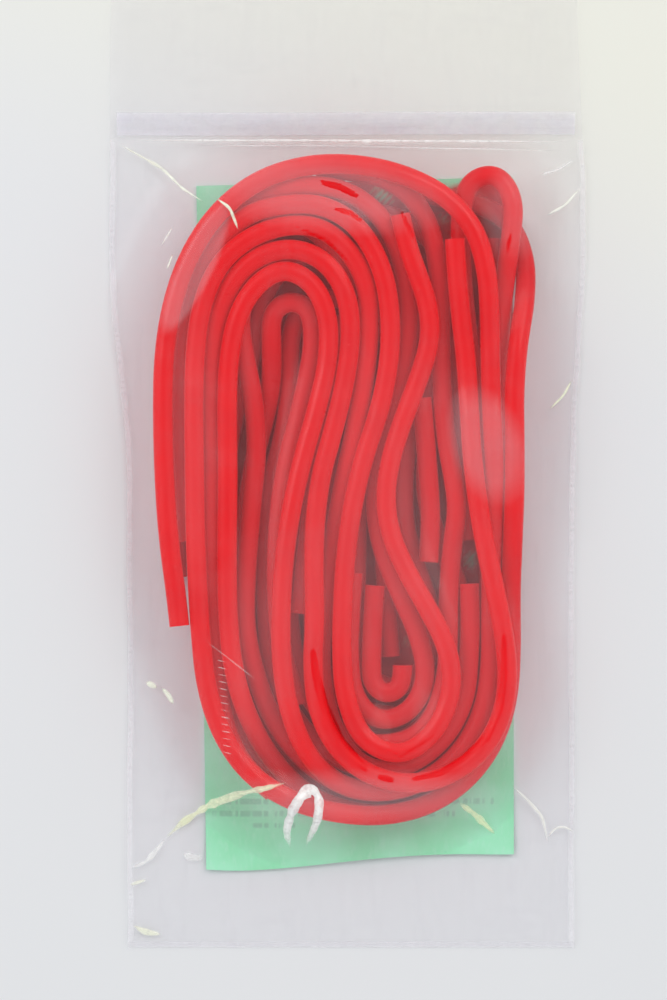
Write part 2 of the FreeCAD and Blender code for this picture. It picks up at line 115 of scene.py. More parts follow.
# under the lower loop, up the middle, over, down the left, round the outside, up the right side
WORM_3_ROUTE = [
    (27.2, -24.4, MID), (27.5, -31.6, MID), (27.2, -40.4, MID), (26.5, -49.6, MID), (22.4, -58.0, MID),
    (15.6, -63.8, MID), (7.4, -66.4, MID), (0.0, -62.0, MID), (-4.0, -53.4, MID), (-5.6, -44.4, MID),
    (-5.4, -35.4, MID), (-4.4, -26.4, MID), (-3.2, -18.6, MID), (-2.0, -10.0, 7.9), (-0.4, -1.4, 8.7),
    (1.8, 8.6, 9.5), (4.1, 20.0, 9.8), (5.2, 30.6, 9.8), (4.9, 40.8, 10.2), (1.0, 48.8, 11.2),
    (-5.4, 54.2, TOP), (-13.6, 54.6, TOP), (-21.8, 51.6, TOP), (-28.2, 45.8, TOP), (-32.0, 36.6, TOP),
    (-33.3, 25.6, TOP), (-33.5, 13.6, TOP), (-33.3, 1.4, TOP), (-33.2, -11.0, TOP), (-32.7, -23.0, TOP),
    (-32.0, -35.0, TOP), (-30.8, -47.0, TOP), (-27.4, -57.6, TOP), (-21.0, -66.6, TOP),
    (-12.0, -72.2, TOP), (-2.0, -75.0, 10.2), (8.4, -75.8, MID), (18.4, -73.4, MID), (26.8, -67.8, MID),
    (32.8, -59.6, MID), (35.9, -49.6, MID), (36.5, -38.6, MID), (36.3, -27.4, MID), (36.7, -16.2, 8.6),
    (37.1, -5.0, 11.0), (37.1, 6.4, TOP), (36.9, 17.8, TOP), (37.8, 28.6, 11.8), (39.6, 38.2, 8.4),
    (39.8, 47.6, 4.4), (36.4, 55.8, LOW), (29.4, 59.8, LOW), (21.4, 61.0, LOW), (14.0, 62.4, LOW),
]

# cut end low on the left, outermost arc, down the right, along the bottom, up and over the innermost
# arc, down the left again and round the bottom in the lowest layer
WORM_4_ROUTE = [
    (-36.6, -33.6, TOP), (-37.4, -26.0, TOP), (-38.7, -17.0, TOP), (-39.6, -7.0, TOP),
    (-40.1, 4.0, TOP), (-40.3, 15.4, TOP), (-40.0, 26.6, TOP), (-38.2, 37.6, TOP), (-34.6, 47.8, TOP),
    (-28.4, 57.4, TOP), (-19.6, 64.4, TOP), (-9.0, 67.8, TOP), (2.0, 68.0, TOP), (12.4, 65.8, TOP),
    (21.8, 61.2, TOP), (28.4, 53.8, TOP), (31.0, 44.6, TOP), (31.6, 35.0, TOP), (31.7, 25.2, TOP),
    (31.9, 15.6, TOP), (32.4, 6.6, TOP), (32.7, -2.4, 10.2), (32.5, -12.0, 7.9), (32.0, -22.0, MID),
    (31.9, -32.0, MID), (32.0, -42.4, MID), (30.4, -52.8, MID), (25.6, -61.6, MID), (18.0, -68.0, MID),
    (8.0, -70.8, MID), (-1.2, -69.2, 8.4), (-8.4, -62.6, 11.2), (-12.4, -53.2, TOP), (-14.2, -42.4, TOP),
    (-14.4, -31.2, TOP), (-13.8, -19.8, TOP), (-12.2, -8.4, TOP), (-9.6, 3.0, TOP), (-6.4, 14.0, TOP),
    (-3.9, 24.4, TOP), (-3.7, 34.0, TOP), (-7.0, 41.8, TOP), (-13.6, 45.2, TOP), (-19.8, 41.6, TOP),
    (-24.1, 34.4, TOP), (-25.9, 24.6, TOP), (-26.2, 13.4, TOP), (-26.0, 1.8, TOP), (-26.1, -9.6, TOP),
    (-26.2, -20.8, TOP), (-26.0, -32.2, TOP), (-24.8, -43.6, TOP), (-21.6, -54.2, 9.4),
    (-16.6, -63.4, 5.4), (-9.0, -71.2, LOW), (1.0, -75.2, LOW), (11.6, -75.6, LOW), (21.6, -71.8, LOW),
    (29.6, -64.6, LOW), (34.6, -54.8, LOW), (36.5, -43.6, LOW), (36.3, -32.0, LOW), (36.7, -20.6, LOW),
    (37.1, -9.6, LOW),
]

# low along the left side, over the top between the outer arcs, under the S bend, deep lower loop
WORM_5_ROUTE = [
    (-37.4, -23.0, LOW), (-37.8, -13.0, LOW), (-37.9, -2.4, LOW), (-38.0, 8.8, LOW), (-38.0, 20.4, LOW),
    (-37.4, 31.6, LOW), (-35.4, 42.0, LOW), (-31.4, 51.0, 4.0), (-25.6, 58.0, 6.0), (-17.8, 61.8, 8.6),
    (-8.4, 63.8, 10.3), (0.6, 62.2, 10.2), (7.8, 56.8, 9.2), (12.0, 49.0, MID), (13.7, 40.0, MID),
    (13.9, 30.4, MID), (12.4, 20.4, MID), (9.8, 10.6, MID), (7.0, 1.0, MID), (6.3, -8.6, MID),
    (8.2, -18.0, MID), (12.2, -27.2, MID), (16.2, -36.0, MID), (18.0, -45.0, MID), (14.6, -52.6, MID),
    (7.4, -55.2, MID), (1.6, -49.8, MID), (0.6, -40.2, MID), (1.0, -30.6, MID), (1.6, -22.0, MID),
]

# from under the outer arc down between the right hand legs, under the S bend's lower turn
WORM_6_ROUTE = [
    (-6.6, 67.0, MID), (3.0, 66.9, MID), (12.2, 63.6, MID), (18.0, 56.4, MID), (20.2, 47.2, MID),
    (20.8, 37.6, MID), (20.9, 27.4, MID), (21.2, 17.2, MID), (22.2, 7.0, MID), (24.0, -2.6, 8.6),
    (24.6, -8.4, 8.8), (23.4, -16.4, MID), (22.6, -26.0, MID), (22.6, -36.0, MID), (22.2, -45.6, MID),
    (19.0, -54.8, MID), (12.8, -59.9, MID), (6.6, -59.8, MID),
]

# small folded loop at the top right, down the right side in the lowest layer, up the left inside
WORM_7_ROUTE = [
    (28.7, 0.0, MID), (28.5, 10.0, MID), (28.0, 20.4, MID), (26.9, 30.6, MID),
    (25.8, 40.0, MID), (25.3, 48.6, MID), (25.2, 57.4, MID), (27.2, 64.6, 7.9), (33.4, 66.2, 9.0),
    (37.2, 60.0, 9.6), (36.2, 50.6, 9.0), (34.8, 40.6, MID), (33.9, 30.8, MID), (33.2, 20.6, 6.6),
    (33.0, 10.4, 4.2), (33.0, 0.0, LOW), (32.3, -10.8, LOW), (31.7, -21.8, LOW), (31.7, -32.2, LOW),
    (32.0, -42.6, LOW), (30.2, -53.4, LOW), (25.0, -62.4, LOW), (16.8, -68.8, LOW), (6.8, -70.8, LOW),
    (-3.0, -68.6, LOW), (-10.8, -62.4, 3.2), (-16.6, -54.0, 5.4), (-20.0, -44.6, MID),
    (-22.2, -35.0, MID), (-22.2, -25.0, MID), (-21.5, -15.0, MID), (-20.6, -4.8, MID), (-19.6, 5.2, MID),
    (-20.2, 15.4, MID), (-22.2, 25.0, MID), (-23.6, 33.4, 7.4), (-22.2, 41.8, 6.9), (-16.8, 47.4, 7.4),
    (-9.4, 48.8, MID),
]

# the lowest layer, three turns
WORM_8_ROUTE = [
    (21.2, -50.6, LOW), (16.2, -58.0, LOW), (7.4, -60.6, LOW), (-1.6, -57.4, LOW), (-8.2, -50.2, LOW),
    (-11.7, -40.6, LOW), (-12.8, -30.2, LOW), (-12.7, -19.0, LOW), (-11.2, -7.6, LOW),
    (-9.0, 3.6, LOW), (-7.5, 14.4, LOW), (-7.2, 22.6, LOW), (-7.1, 29.6, LOW), (-3.9, 32.9, LOW),
    (0.6, 32.9, LOW), (3.8, 29.6, LOW), (4.0, 22.4, LOW), (3.4, 13.8, LOW), (2.6, 5.0, LOW),
    (2.2, -4.2, LOW), (2.5, -13.0, LOW), (2.4, -22.6, LOW), (2.2, -32.4, LOW), (3.0, -41.6, LOW),
    (7.6, -47.8, LOW),
    (15.0, -46.8, LOW), (19.2, -39.4, LOW), (18.8, -29.8, LOW), (15.6, -20.6, LOW), (12.9, -11.4, LOW),
    (12.8, -2.0, LOW), (13.6, 8.0, LOW), (13.4, 18.4, LOW), (10.8, 28.2, LOW), (5.0, 36.0, LOW),
    (-3.0, 39.6, LOW), (-10.4, 36.8, LOW), (-12.6, 28.8, LOW), (-12.4, 19.2, LOW), (-13.6, 9.2, LOW),
    (-16.2, -0.6, LOW), (-17.7, -11.0, LOW), (-17.8, -21.6, LOW), (-17.7, -32.4, LOW),
    (-16.6, -43.2, LOW), (-12.6, -53.0, LOW), (-6.2, -60.4, LOW), (2.0, -65.4, LOW), (11.6, -65.6, LOW),
    (20.0, -60.8, LOW), (25.3, -52.8, LOW), (27.2, -43.2, LOW), (26.8, -33.0, LOW), (24.4, -22.8, LOW),
    (20.2, -14.4, LOW), (17.4, -5.0, LOW), (17.9, 5.6, LOW), (19.0, 16.4, LOW), (18.4, 27.4, LOW),
    (15.0, 37.4, LOW), (8.6, 45.4, LOW), (-0.4, 49.4, LOW), (-10.0, 48.6, LOW), (-17.2, 42.4, LOW),
    (-19.6, 33.2, LOW), (-21.4, 23.4, LOW), (-24.6, 13.6, LOW), (-26.6, 3.0, LOW), (-27.2, -7.4, LOW),
]

# lowest layer, from the right side over the top and down the left side
WORM_9_ROUTE = [
    (27.2, -14.8, LOW), (26.2, -6.0, LOW), (25.5, 4.4, LOW), (25.1, 15.0, LOW), (25.0, 26.0, LOW),
    (24.3, 37.0, LOW), (22.2, 47.0, LOW), (16.8, 54.2, LOW), (8.8, 57.6, LOW), (-0.6, 58.2, LOW),
    (-10.4, 57.4, LOW), (-18.8, 53.6, LOW), (-24.6, 46.8, LOW), (-28.0, 38.0, LOW),
    (-30.4, 28.4, LOW), (-32.0, 18.6, LOW), (-32.7, 8.0, LOW), (-32.6, -3.0, LOW),
    (-31.2, -13.0, LOW), (-29.2, -23.0, LOW), (-28.1, -33.2, LOW), (-27.0, -43.6, LOW),
    (-24.2, -53.2, LOW),
]

# lowest layer, down inside the third turn of the one above
WORM_10_ROUTE = [
    (-1.9, 24.0, LOW), (-2.4, 14.8, LOW), (-3.6, 5.0, LOW), (-5.2, -5.0, LOW), (-6.9, -15.0, LOW),
    (-7.5, -25.0, LOW), (-7.3, -34.4, LOW), (-5.9, -43.0, LOW), (-1.6, -49.6, LOW),
    (4.4, -53.2, LOW), (10.4, -53.7, LOW),
]

# lowest layer up the left side, a small arch in the upper hole, down its right side
WORM_11_ROUTE = [
    (-21.8, -44.0, LOW), (-22.6, -34.0, LOW), (-22.8, -24.2, LOW), (-22.6, -14.2, LOW),
    (-21.6, -4.4, LOW), (-19.8, 5.4, LOW), (-17.5, 13.8, 3.3), (-16.4, 21.0, 5.5),
    (-16.4, 28.0, MID), (-16.6, 34.7, MID), (-13.9, 37.6, MID), (-10.2, 37.7, MID), (-7.5, 35.0, MID),
    (-7.2, 27.8, MID),
    (-8.7, 19.8, MID), (-10.6, 12.0, MID), (-12.7, 4.4, MID), (-14.4, -4.8, MID), (-15.2, -14.6, MID),
    (-15.4, -24.6, MID), (-14.9, -34.4, MID), (-13.2, -43.6, MID), (-10.6, -51.2, MID),
]

# lowest layer, beside the lower hole
WORM_12_ROUTE = [
    (9.9, -40.6, LOW), (9.2, -31.6, LOW), (8.8, -23.0, LOW), (8.2, -14.0, LOW), (7.7, -4.0, LOW),
    (8.0, 6.0, LOW), (8.5, 13.6, LOW), (8.3, 19.6, LOW),
]

# middle layer, over the top inside the second turn, down the middle
WORM_13_ROUTE = [
    (-21.6, 49.2, MID), (-17.6, 53.4, MID), (-12.0, 55.4, MID), (-6.3, 53.6, MID), (-2.4, 48.2, MID),
    (0.1, 40.6, MID), (0.8, 32.4, MID), (0.0, 24.0, MID), (-3.0, 13.0, MID), (-5.8, 2.0, MID),
    (-7.8, -10.0, MID), (-9.0, -20.0, MID), (-10.0, -31.0, MID),
]

# middle layer, beside the bend in the middle of the right half
WORM_14_ROUTE = [
    (16.7, 16.6, MID), (17.6, 6.6, MID), (18.4, -3.4, MID), (18.8, -11.4, MID), (18.2, -19.6, MID),
]

# middle layer, hooked round inside the lower hole
WORM_15_ROUTE = [
    (6.4, -24.8, MID), (6.0, -31.4, MID), (5.7, -37.6, MID), (5.6, -42.3, MID), (5.7, -46.0, MID),
    (7.75, -48.4, MID), (10.65, -48.4, MID), (12.5, -46.0, MID), (12.5, -42.4, MID),
]

# lowest layer, under the right side's upper half
WORM_16_ROUTE = [
    (32.2, 52.0, LOW), (32.0, 44.0, LOW), (31.7, 36.0, LOW), (30.9, 28.0, LOW), (29.9, 20.4, LOW),
]

WORM_ROUTES = {
    "worm_1": WORM_1_ROUTE,
    "worm_2": WORM_2_ROUTE,
    "worm_3": WORM_3_ROUTE,
    "worm_4": WORM_4_ROUTE,
    "worm_5": WORM_5_ROUTE,
    "worm_6": WORM_6_ROUTE,
    "worm_7": WORM_7_ROUTE,
    "worm_8": WORM_8_ROUTE,
    "worm_9": WORM_9_ROUTE,
    "worm_10": WORM_10_ROUTE,
    "worm_11": WORM_11_ROUTE,
    "worm_12": WORM_12_ROUTE,
    "worm_13": WORM_13_ROUTE,
    "worm_14": WORM_14_ROUTE,
    "worm_15": WORM_15_ROUTE,
    "worm_16": WORM_16_ROUTE,
}

# lengths from cut end to cut end
WORM_LENGTHS = {
    "worm_1": 401.0,
    "worm_2": 356.0,
    "worm_3": 526.0,
    "worm_4": 653.0,
    "worm_5": 277.0,
    "worm_6": 154.0,
    "worm_7": 364.0,
    "worm_8": 638.0,
    "worm_9": 218.0,
    "worm_10": 88.0,
    "worm_11": 178.0,
    "worm_12": 60.0,
    "worm_13": 104.0,
    "worm_14": 36.0,
    "worm_15": 33.0,
    "worm_16": 32.0,
}


# ---------------------------------------------------------------- shader graphs


class Value:
    """One output socket of a shader graph, with arithmetic that adds Math nodes."""

    def __init__(self, graph: "Graph", socket: bpy.types.NodeSocket) -> None:
        """Keep the graph and the socket."""
        self.graph = graph
        self.socket = socket

    def __add__(self, other: Any) -> "Value":
        """Sum."""
        return self.graph.math("ADD", self, other)

    def __radd__(self, other: Any) -> "Value":
        """Sum, reflected."""
        return self.graph.math("ADD", other, self)

    def __sub__(self, other: Any) -> "Value":
        """Difference."""
        return self.graph.math("SUBTRACT", self, other)

    def __rsub__(self, other: Any) -> "Value":
        """Difference, reflected."""
        return self.graph.math("SUBTRACT", other, self)

    def __mul__(self, other: Any) -> "Value":
        """Product."""
        return self.graph.math("MULTIPLY", self, other)

    def __rmul__(self, other: Any) -> "Value":
        """Product, reflected."""
        return self.graph.math("MULTIPLY", other, self)

    def __pow__(self, other: Any) -> "Value":
        """Power."""
        return self.graph.math("POWER", self, other)


class Graph:
    """A new material whose nodes are added by a few short calls."""

    def __init__(self, name: str) -> None:
        """Make the material.

        Args:
            name: the material's name.
        """
        self.material = bpy.data.materials.new(name)
        self.material.use_nodes = True
        self.tree = self.material.node_tree
        self.tree.nodes.clear()
        self.output = self.tree.nodes.new("ShaderNodeOutputMaterial")

    def add(self, kind: str, sockets: Optional[dict] = None, stops: Sequence = (),
            **settings: Any) -> bpy.types.Node:
        """Add one node.

        Args:
            kind: the node's type.
            sockets: values or links, by the input's name or number.
            stops: a ramp's stops, as (position, colour).
            settings: the node's own settings, set before its sockets.

        Returns:
            The node.
        """
        node = self.tree.nodes.new(kind)
        for key, value in settings.items():
            setattr(node, key, value)
        if stops:
            elements = node.color_ramp.elements
            while len(elements) < len(stops):
                elements.new(0.5)
            for element, (position, colour) in zip(elements, stops):
                element.position = position
                element.color = (*colour, 1.0)
        for key, value in (sockets or {}).items():
            if isinstance(value, Value):
                self.tree.links.new(value.socket, node.inputs[key])
            else:
                node.inputs[key].default_value = value
        return node

    def out(self, node: bpy.types.Node, key: Any = 0) -> Value:
        """An output of a node as a Value."""
        return Value(self, node.outputs[key])

    def math(self, operation: str, first: Any, second: Any = 0.0, clamp: bool = False) -> Value:
        """A Math node's result."""
        node = self.add("ShaderNodeMath", {0: first, 1: second}, operation=operation, use_clamp=clamp)
        return self.out(node)

    def step(self, value: Value, low: float, high: float, start: float = 0.0, end: float = 1.0) -> Value:
        """A smooth step of value from low to high, giving start to end."""
        sockets = {"Value": value, "From Min": low, "From Max": high, "To Min": start, "To Max": end}
        return self.out(self.add("ShaderNodeMapRange", sockets, interpolation_type="SMOOTHSTEP"))

    def place(self, scale: Point = (1, 1, 1), location: Point = (0, 0, 0), turn: float = 0.0) -> Value:
        """Object coordinates in millimetres, after a turn about Z, a shift and a scale."""
        coordinates = self.out(self.add("ShaderNodeTexCoord"), "Object")
        sockets = {"Vector": coordinates, "Location": [-part for part in location],
                   "Rotation": (0, 0, turn), "Scale": [part / MM for part in scale]}
        return self.out(self.add("ShaderNodeMapping", sockets))

    def noise(self, place: Value, size: float, detail: float = 2.0, rough: float = 0.5) -> Value:
        """Noise from 0 to 1 whose blobs are about size millimetres."""
        sockets = {"Vector": place, "Scale": 1 / size, "Detail": detail, "Roughness": rough}
        return self.out(self.add("ShaderNodeTexNoise", sockets), "Fac")

    def mix(self, share: Any, first: Any, second: Any) -> Value:
        """A mix of two colours."""
        colours = [(*part, 1.0) if isinstance(part, tuple) else part for part in (first, second)]
        sockets = {"Factor": share, "A": colours[0], "B": colours[1]}
        node = self.tree.nodes.new("ShaderNodeMix")
        node.data_type = "RGBA"
        named = {"Factor": node.inputs[0], "A": node.inputs[6], "B": node.inputs[7]}
        for key, value in sockets.items():
            if isinstance(value, Value):
                self.tree.links.new(value.socket, named[key])
            else:
                named[key].default_value = value
        return Value(self, node.outputs[2])

    def attribute(self, name: str) -> Value:
        """A number that the piece's mesh carries."""
        return self.out(self.add("ShaderNodeAttribute", attribute_name=name), "Fac")

    def bump(self, height: Value, strength: float, distance: float) -> Value:
        """A normal bumped by height, distance in millimetres."""
        sockets = {"Height": height, "Strength": strength, "Distance": distance * MM}
        return self.out(self.add("ShaderNodeBump", sockets))

    def blend_shaders(self, share: Any, first: Value, second: Value) -> Value:
        """A mix of two shaders."""
        return self.out(self.add("ShaderNodeMixShader", {0: share, 1: first, 2: second}))

    def finish(self, shader: Value) -> bpy.types.Material:
        """Link the surface and give the material."""
        self.tree.links.new(shader.socket, self.output.inputs["Surface"])
        return self.material


# ---------------------------------------------------------------- finishes


@dataclass(frozen=True)
class WormFinish:
    """Soft translucent red plastic with an oily gloss, with painted shade that darkens it in the hank's lower
    layers.

    A weak red glow stands for the light that passes through the plastic.
    """

    bright: Colour = (0.80, 0.006, 0.010)
    shaded_mottled_red: Colour = (0.66, 0.002, 0.008)
    low_shade_red: Colour = (0.42, 0.001, 0.005)
    through: Colour = (0.55, 0.004, 0.012)
    through_strength: float = 0.13
    glow: float = 0.25
    glow_reach: float = 1.5

    def make(self) -> bpy.types.Material:
        """Build the material."""
        graph = Graph("worm_red")
        place = graph.place()
        height = graph.out(graph.add("ShaderNodeSeparateXYZ", {0: place}), "Z")
        cloud = graph.noise(place, 9.0, 3.0)
        # painted shade: the red darkens from the top layer down to the lowest; the cloud also mottles it at
        # random
        colour = graph.mix(graph.step(height, 8.0, 12.5), self.shaded_mottled_red, self.bright)
        colour = graph.mix(graph.step(height, 6.5, 2.5), colour, self.low_shade_red)
        colour = graph.mix(graph.step(cloud, 0.35, 0.75, 0.0, 0.35), colour, self.shaded_mottled_red)
        fine = graph.noise(place, 1.3, 4.0, 0.6)
        specks = graph.step(graph.noise(place, 0.45, 1.0), 0.74, 0.80)
        colour = graph.mix(specks * 0.35, colour, (0.92, 0.35, 0.32))
        skin = graph.bump(fine + graph.noise(place, 5.0) * 2.0, 0.25, 0.12)
        shader = graph.add("ShaderNodeBsdfPrincipled", {
            "Base Color": colour,
            "Roughness": graph.step(fine, 0.3, 0.7, 0.26, 0.42),
            "Normal": skin,
            "IOR": 1.40,
            "Specular IOR Level": 0.22,
            "Emission Color": (*self.through, 1.0),
            "Emission Strength": self.through_strength,
            "Subsurface Weight": self.glow,
            "Subsurface Radius": (1.0, 0.10, 0.08),
            "Subsurface Scale": self.glow_reach * MM,
        })
        return graph.finish(graph.out(shader))


@dataclass(frozen=True)
class FilmFinish:
    """Clear film: a thin milky haze, streaks, and gloss that grows towards grazing angles; the front film
    also carries painted sheen where it stands off the cords.
    """

    name: str
    haze_tint: Colour = (0.90, 0.88, 0.93)
    plain_haze: float = 0.006
    streak_haze: float = 0.012
    fitted: bool = False
    gloss: float = 0.45
    least_gloss: float = 0.006
    gloss_roughness: float = 0.14

    def make(self) -> bpy.types.Material:
        """Build the material."""
        graph = Graph(self.name)
        streaks = graph.noise(graph.place((1, 0.16, 1)), 5.0, 3.0, 0.6)
        cross = graph.noise(graph.place((0.4, 1, 1), turn=0.6), 11.0, 3.0, 0.6)
        haze = graph.step(streaks, 0.45, 0.8) * self.streak_haze
        haze = haze + graph.step(cross, 0.5, 0.8) * self.streak_haze + self.plain_haze
        # front film: the haze attribute adds milky haze and painted sheen where the film stands off the
        # cords; the wet marks, where it touches them, clear both
        if self.fitted:
            wet = graph.attribute("wet")
            ragged = wet + (graph.noise(graph.place(), 0.9, 2.0) - 0.5) * 0.5
            dry = graph.step(ragged, -0.04, 0.06, 1.0, 0.0)
            haze = (haze + graph.attribute("haze")) * dry
        ripple = graph.noise(graph.place((1, 0.5, 1)), 7.0, 3.0, 0.55)
        relief = graph.bump(ripple, 0.5, 0.5)
        milky = graph.out(graph.add("ShaderNodeBsdfPrincipled", {
            "Base Color": (*self.haze_tint, 1.0), "Roughness": 0.45, "Specular IOR Level": 0.3}))
        clear = graph.out(graph.add("ShaderNodeBsdfTransparent", {"Color": (0.997, 0.996, 0.998, 1.0)}))
        shine = graph.out(graph.add("ShaderNodeBsdfGlossy", {
            "Color": (1, 1, 1, 1), "Roughness": self.gloss_roughness, "Normal": relief}))
        tilt = graph.out(graph.add("ShaderNodeLayerWeight", {"Blend": 0.5, "Normal": relief}), "Facing")
        share = (tilt ** 5.0) * self.gloss + self.least_gloss
        return graph.finish(graph.blend_shaders(share, graph.blend_shaders(haze, clear, milky), shine))


@dataclass(frozen=True)
class CreaseFinish:
    """The bright line of a crease in clear film: a painted highlight, white or warm."""

    tint: Colour = (1.0, 1.0, 0.98)

    def make(self) -> bpy.types.Material:
        """Build the material."""
        graph = Graph("film_crease")
        strength = graph.attribute("gleam")
        ragged = graph.noise(graph.place(), 1.6, 3.0)
        share = strength * graph.step(ragged, 0.25, 0.6, 0.55, 1.0)
        # painted highlight: white, or warm where the crease says so, mixed in by its gleam
        tone = graph.mix(graph.attribute("warm"), self.tint, (0.93, 0.97, 0.62))
        gleam = graph.out(graph.add("ShaderNodeBsdfPrincipled", {
            "Base Color": tone, "Roughness": 0.2, "Specular IOR Level": 0.8}))
        clear = graph.out(graph.add("ShaderNodeBsdfTransparent"))
        return graph.finish(graph.blend_shaders(share, clear, gleam))


@dataclass(frozen=True)
class WeldFinish:
    """Film welded to film, or moulded zip plastic: whiter than the film, with fine cross lines."""

    name: str
    tint: Colour = (0.97, 0.96, 0.99)
    share: float = 0.16
    tick_share: float = 0.06
    line_pitch: float = 0.9

    def make(self) -> bpy.types.Material:
        """Build the material."""
        graph = Graph(self.name)
        place = graph.place()
        cloud = graph.noise(place, 4.0, 3.0)
        ticks = graph.noise(graph.place((0.2, 1, 1)), self.line_pitch, 1.0)
        share = graph.step(cloud, 0.3, 0.7, self.share * 0.6, self.share)
        share = share + graph.step(ticks, 0.5, 0.7) * self.tick_share
        relief = graph.bump(ticks, 0.4, 0.1)
        solid = graph.out(graph.add("ShaderNodeBsdfPrincipled", {
            "Base Color": (*self.tint, 1.0), "Roughness": graph.step(cloud, 0.3, 0.7, 0.2, 0.35),
            "Specular IOR Level": 0.7, "Normal": relief}))
        clear = graph.out(graph.add("ShaderNodeBsdfTransparent"))
        return graph.finish(graph.blend_shaders(share, clear, solid))


@dataclass(frozen=True)
class CardFinish:
    """Matt pale green card with paper fibres, faint printed bars, and painted red light and shade under the
    cords.

    The painted red stands for the shade under the cords and the red light that comes down through them.
    """

    green: Colour = (0.31, 0.80, 0.48)
    pale: Colour = (0.40, 0.88, 0.60)
    ink: Colour = (0.22, 0.36, 0.30)
    painted_red_light_and_shade: Colour = (0.60, 0.008, 0.012)
    bars: tuple[tuple[float, float, float, float], ...] = (
        (-21.0, -72.9, 8.0, 0.8), (-19.4, -75.6, 10.5, 0.8), (-16.0, -78.2, 5.0, 0.7),
        (23.6, -72.8, 9.5, 0.8), (19.0, -75.6, 5.5, 0.8))

    def bar(self, graph: Graph, spot: tuple[Value, Value], across: float, along: float,
            half_x: float, half_y: float) -> Value:
        """A soft printed bar: 1 inside and 0 outside.

        Args:
            graph: the material's graph.
            spot: x and y of the Object coordinates.
            across: the bar's middle in x.
            along: the bar's middle in y.
            half_x: half its length.
            half_y: half its height.

        Returns:
            The mask.
        """
        x_part, y_part = spot
        far_x = graph.math("ABSOLUTE", x_part - across)
        far_y = graph.math("ABSOLUTE", y_part - along)
        return graph.step(far_x, half_x, half_x - 0.5) * graph.step(far_y, half_y, half_y - 0.35)

    def make(self) -> bpy.types.Material:
        """Build the material."""
        graph = Graph("card_green")
        place = graph.place()
        split = graph.add("ShaderNodeSeparateXYZ", {0: place})
        spot = (graph.out(split, "X"), graph.out(split, "Y"))
        fibre = graph.noise(graph.place((1, 0.35, 1), turn=0.4), 0.8, 4.0, 0.65)
        cloud = graph.noise(place, 14.0, 2.0)
        colour = graph.mix(graph.step(cloud, 0.3, 0.7), self.green, self.pale)
        colour = graph.mix(graph.step(fibre, 0.45, 0.75, 0.0, 0.25), colour, (0.62, 0.90, 0.76))
        breaks = graph.step(graph.noise(graph.place((1, 0.05, 1)), 1.1, 2.0), 0.38, 0.5)
        print_mask = None
        for values in self.bars:
            mask = self.bar(graph, spot, *values)
            print_mask = mask if print_mask is None else graph.math("MAXIMUM", print_mask, mask)
        colour = graph.mix(print_mask * breaks * 0.35, colour, self.ink)
        # painted red light and shade where the cords lie over the card
        colour = graph.mix(graph.attribute("under_cord"), colour, self.painted_red_light_and_shade)
        shader = graph.add("ShaderNodeBsdfPrincipled", {
            "Base Color": colour,
            "Roughness": graph.step(fibre, 0.3, 0.7, 0.62, 0.8),
            "Normal": graph.bump(fibre, 0.3, 0.06),
            "Specular IOR Level": 0.25,
        })
        return graph.finish(graph.out(shader))


@dataclass(frozen=True)
class TableFinish:
    """The pale table top, with painted warm light towards the top right."""

    cool: Colour = (0.80, 0.81, 0.82)
    warm: Colour = (0.85, 0.85, 0.77)

    def make(self) -> bpy.types.Material:
        """Build the material."""
        graph = Graph("table_top")
        split = graph.add("ShaderNodeSeparateXYZ", {0: graph.place()})
        slope = graph.out(split, "Y") + graph.out(split, "X") * 0.35
        # painted warm light: the top grows warmer and a little brighter towards the top right
        colour = graph.mix(graph.step(slope, 30.0, 120.0), self.cool, self.warm)
        shader = graph.add("ShaderNodeBsdfPrincipled", {
            "Base Color": colour, "Roughness": 0.9, "Specular IOR Level": 0.1})
        return graph.finish(graph.out(shader))


# ---------------------------------------------------------------- making pieces


def link_mesh(name: str, points: Sequence[Sequence[float]],
              faces: Sequence[Sequence[int]]) -> bpy.types.Object:
    """A new mesh object from points in millimetres.

    Args:
        name: the piece's name.
        points: its vertices.
        faces: its faces, as vertex numbers.

    Returns:
        The object, at the origin.
    """
    mesh = bpy.data.meshes.new(name)
    mesh.from_pydata([[part * MM for part in point] for point in points], [], [list(face) for face in faces])
    mesh.update()
    piece = bpy.data.objects.new(name, mesh)
    bpy.context.scene.collection.objects.link(piece)
    return piece


def pick(piece: bpy.types.Object) -> None:
    """Deselect everything, then select one piece and make it active."""
    bpy.ops.object.select_all(action="DESELECT")
    piece.select_set(True)
    bpy.context.view_layer.objects.active = piece


def face_outwards(piece: bpy.types.Object) -> None:
    """Turn all faces of a closed piece outwards.

    Args:
        piece: the piece.
    """
    pick(piece)
    bpy.ops.object.mode_set(mode="EDIT")
    bpy.ops.mesh.select_all(action="SELECT")
    bpy.ops.mesh.normals_make_consistent(inside=False)
    bpy.ops.object.mode_set(mode="OBJECT")


def modify(piece: bpy.types.Object, kind: str, **settings: Any) -> None:
    """Add one modifier and apply it."""
    pick(piece)
    modifier = piece.modifiers.new(kind.lower(), kind)
    for key, value in settings.items():
        setattr(modifier, key, value)
    bpy.ops.object.modifier_apply(modifier=modifier.name)


def smooth(piece: bpy.types.Object, degrees: float = 40.0) -> None:
    """Shade smooth except over edges sharper than degrees."""
    pick(piece)
    bpy.ops.object.shade_smooth_by_angle(angle=np.radians(degrees))


def dress(piece: bpy.types.Object, material: bpy.types.Material) -> None:
    """Give a piece its material."""
    piece.data.materials.clear()
    piece.data.materials.append(material)


def grid_faces(rows: int, columns: int) -> list[tuple[int, int, int, int]]:
    """Quads of a grid of points numbered row by row, facing up."""
    corners = []
    for row in range(rows - 1):
        for column in range(columns - 1):
            first = row * columns + column
            corners.append((first, first + 1, first + columns + 1, first + columns))
    return corners


def give(piece: bpy.types.Object, name: str, values: np.ndarray) -> None:
    """Store one number for each vertex of a piece."""
    attribute = piece.data.attributes.new(name, "FLOAT", "POINT")
    attribute.data.foreach_set("value", np.asarray(values, np.float32).ravel())


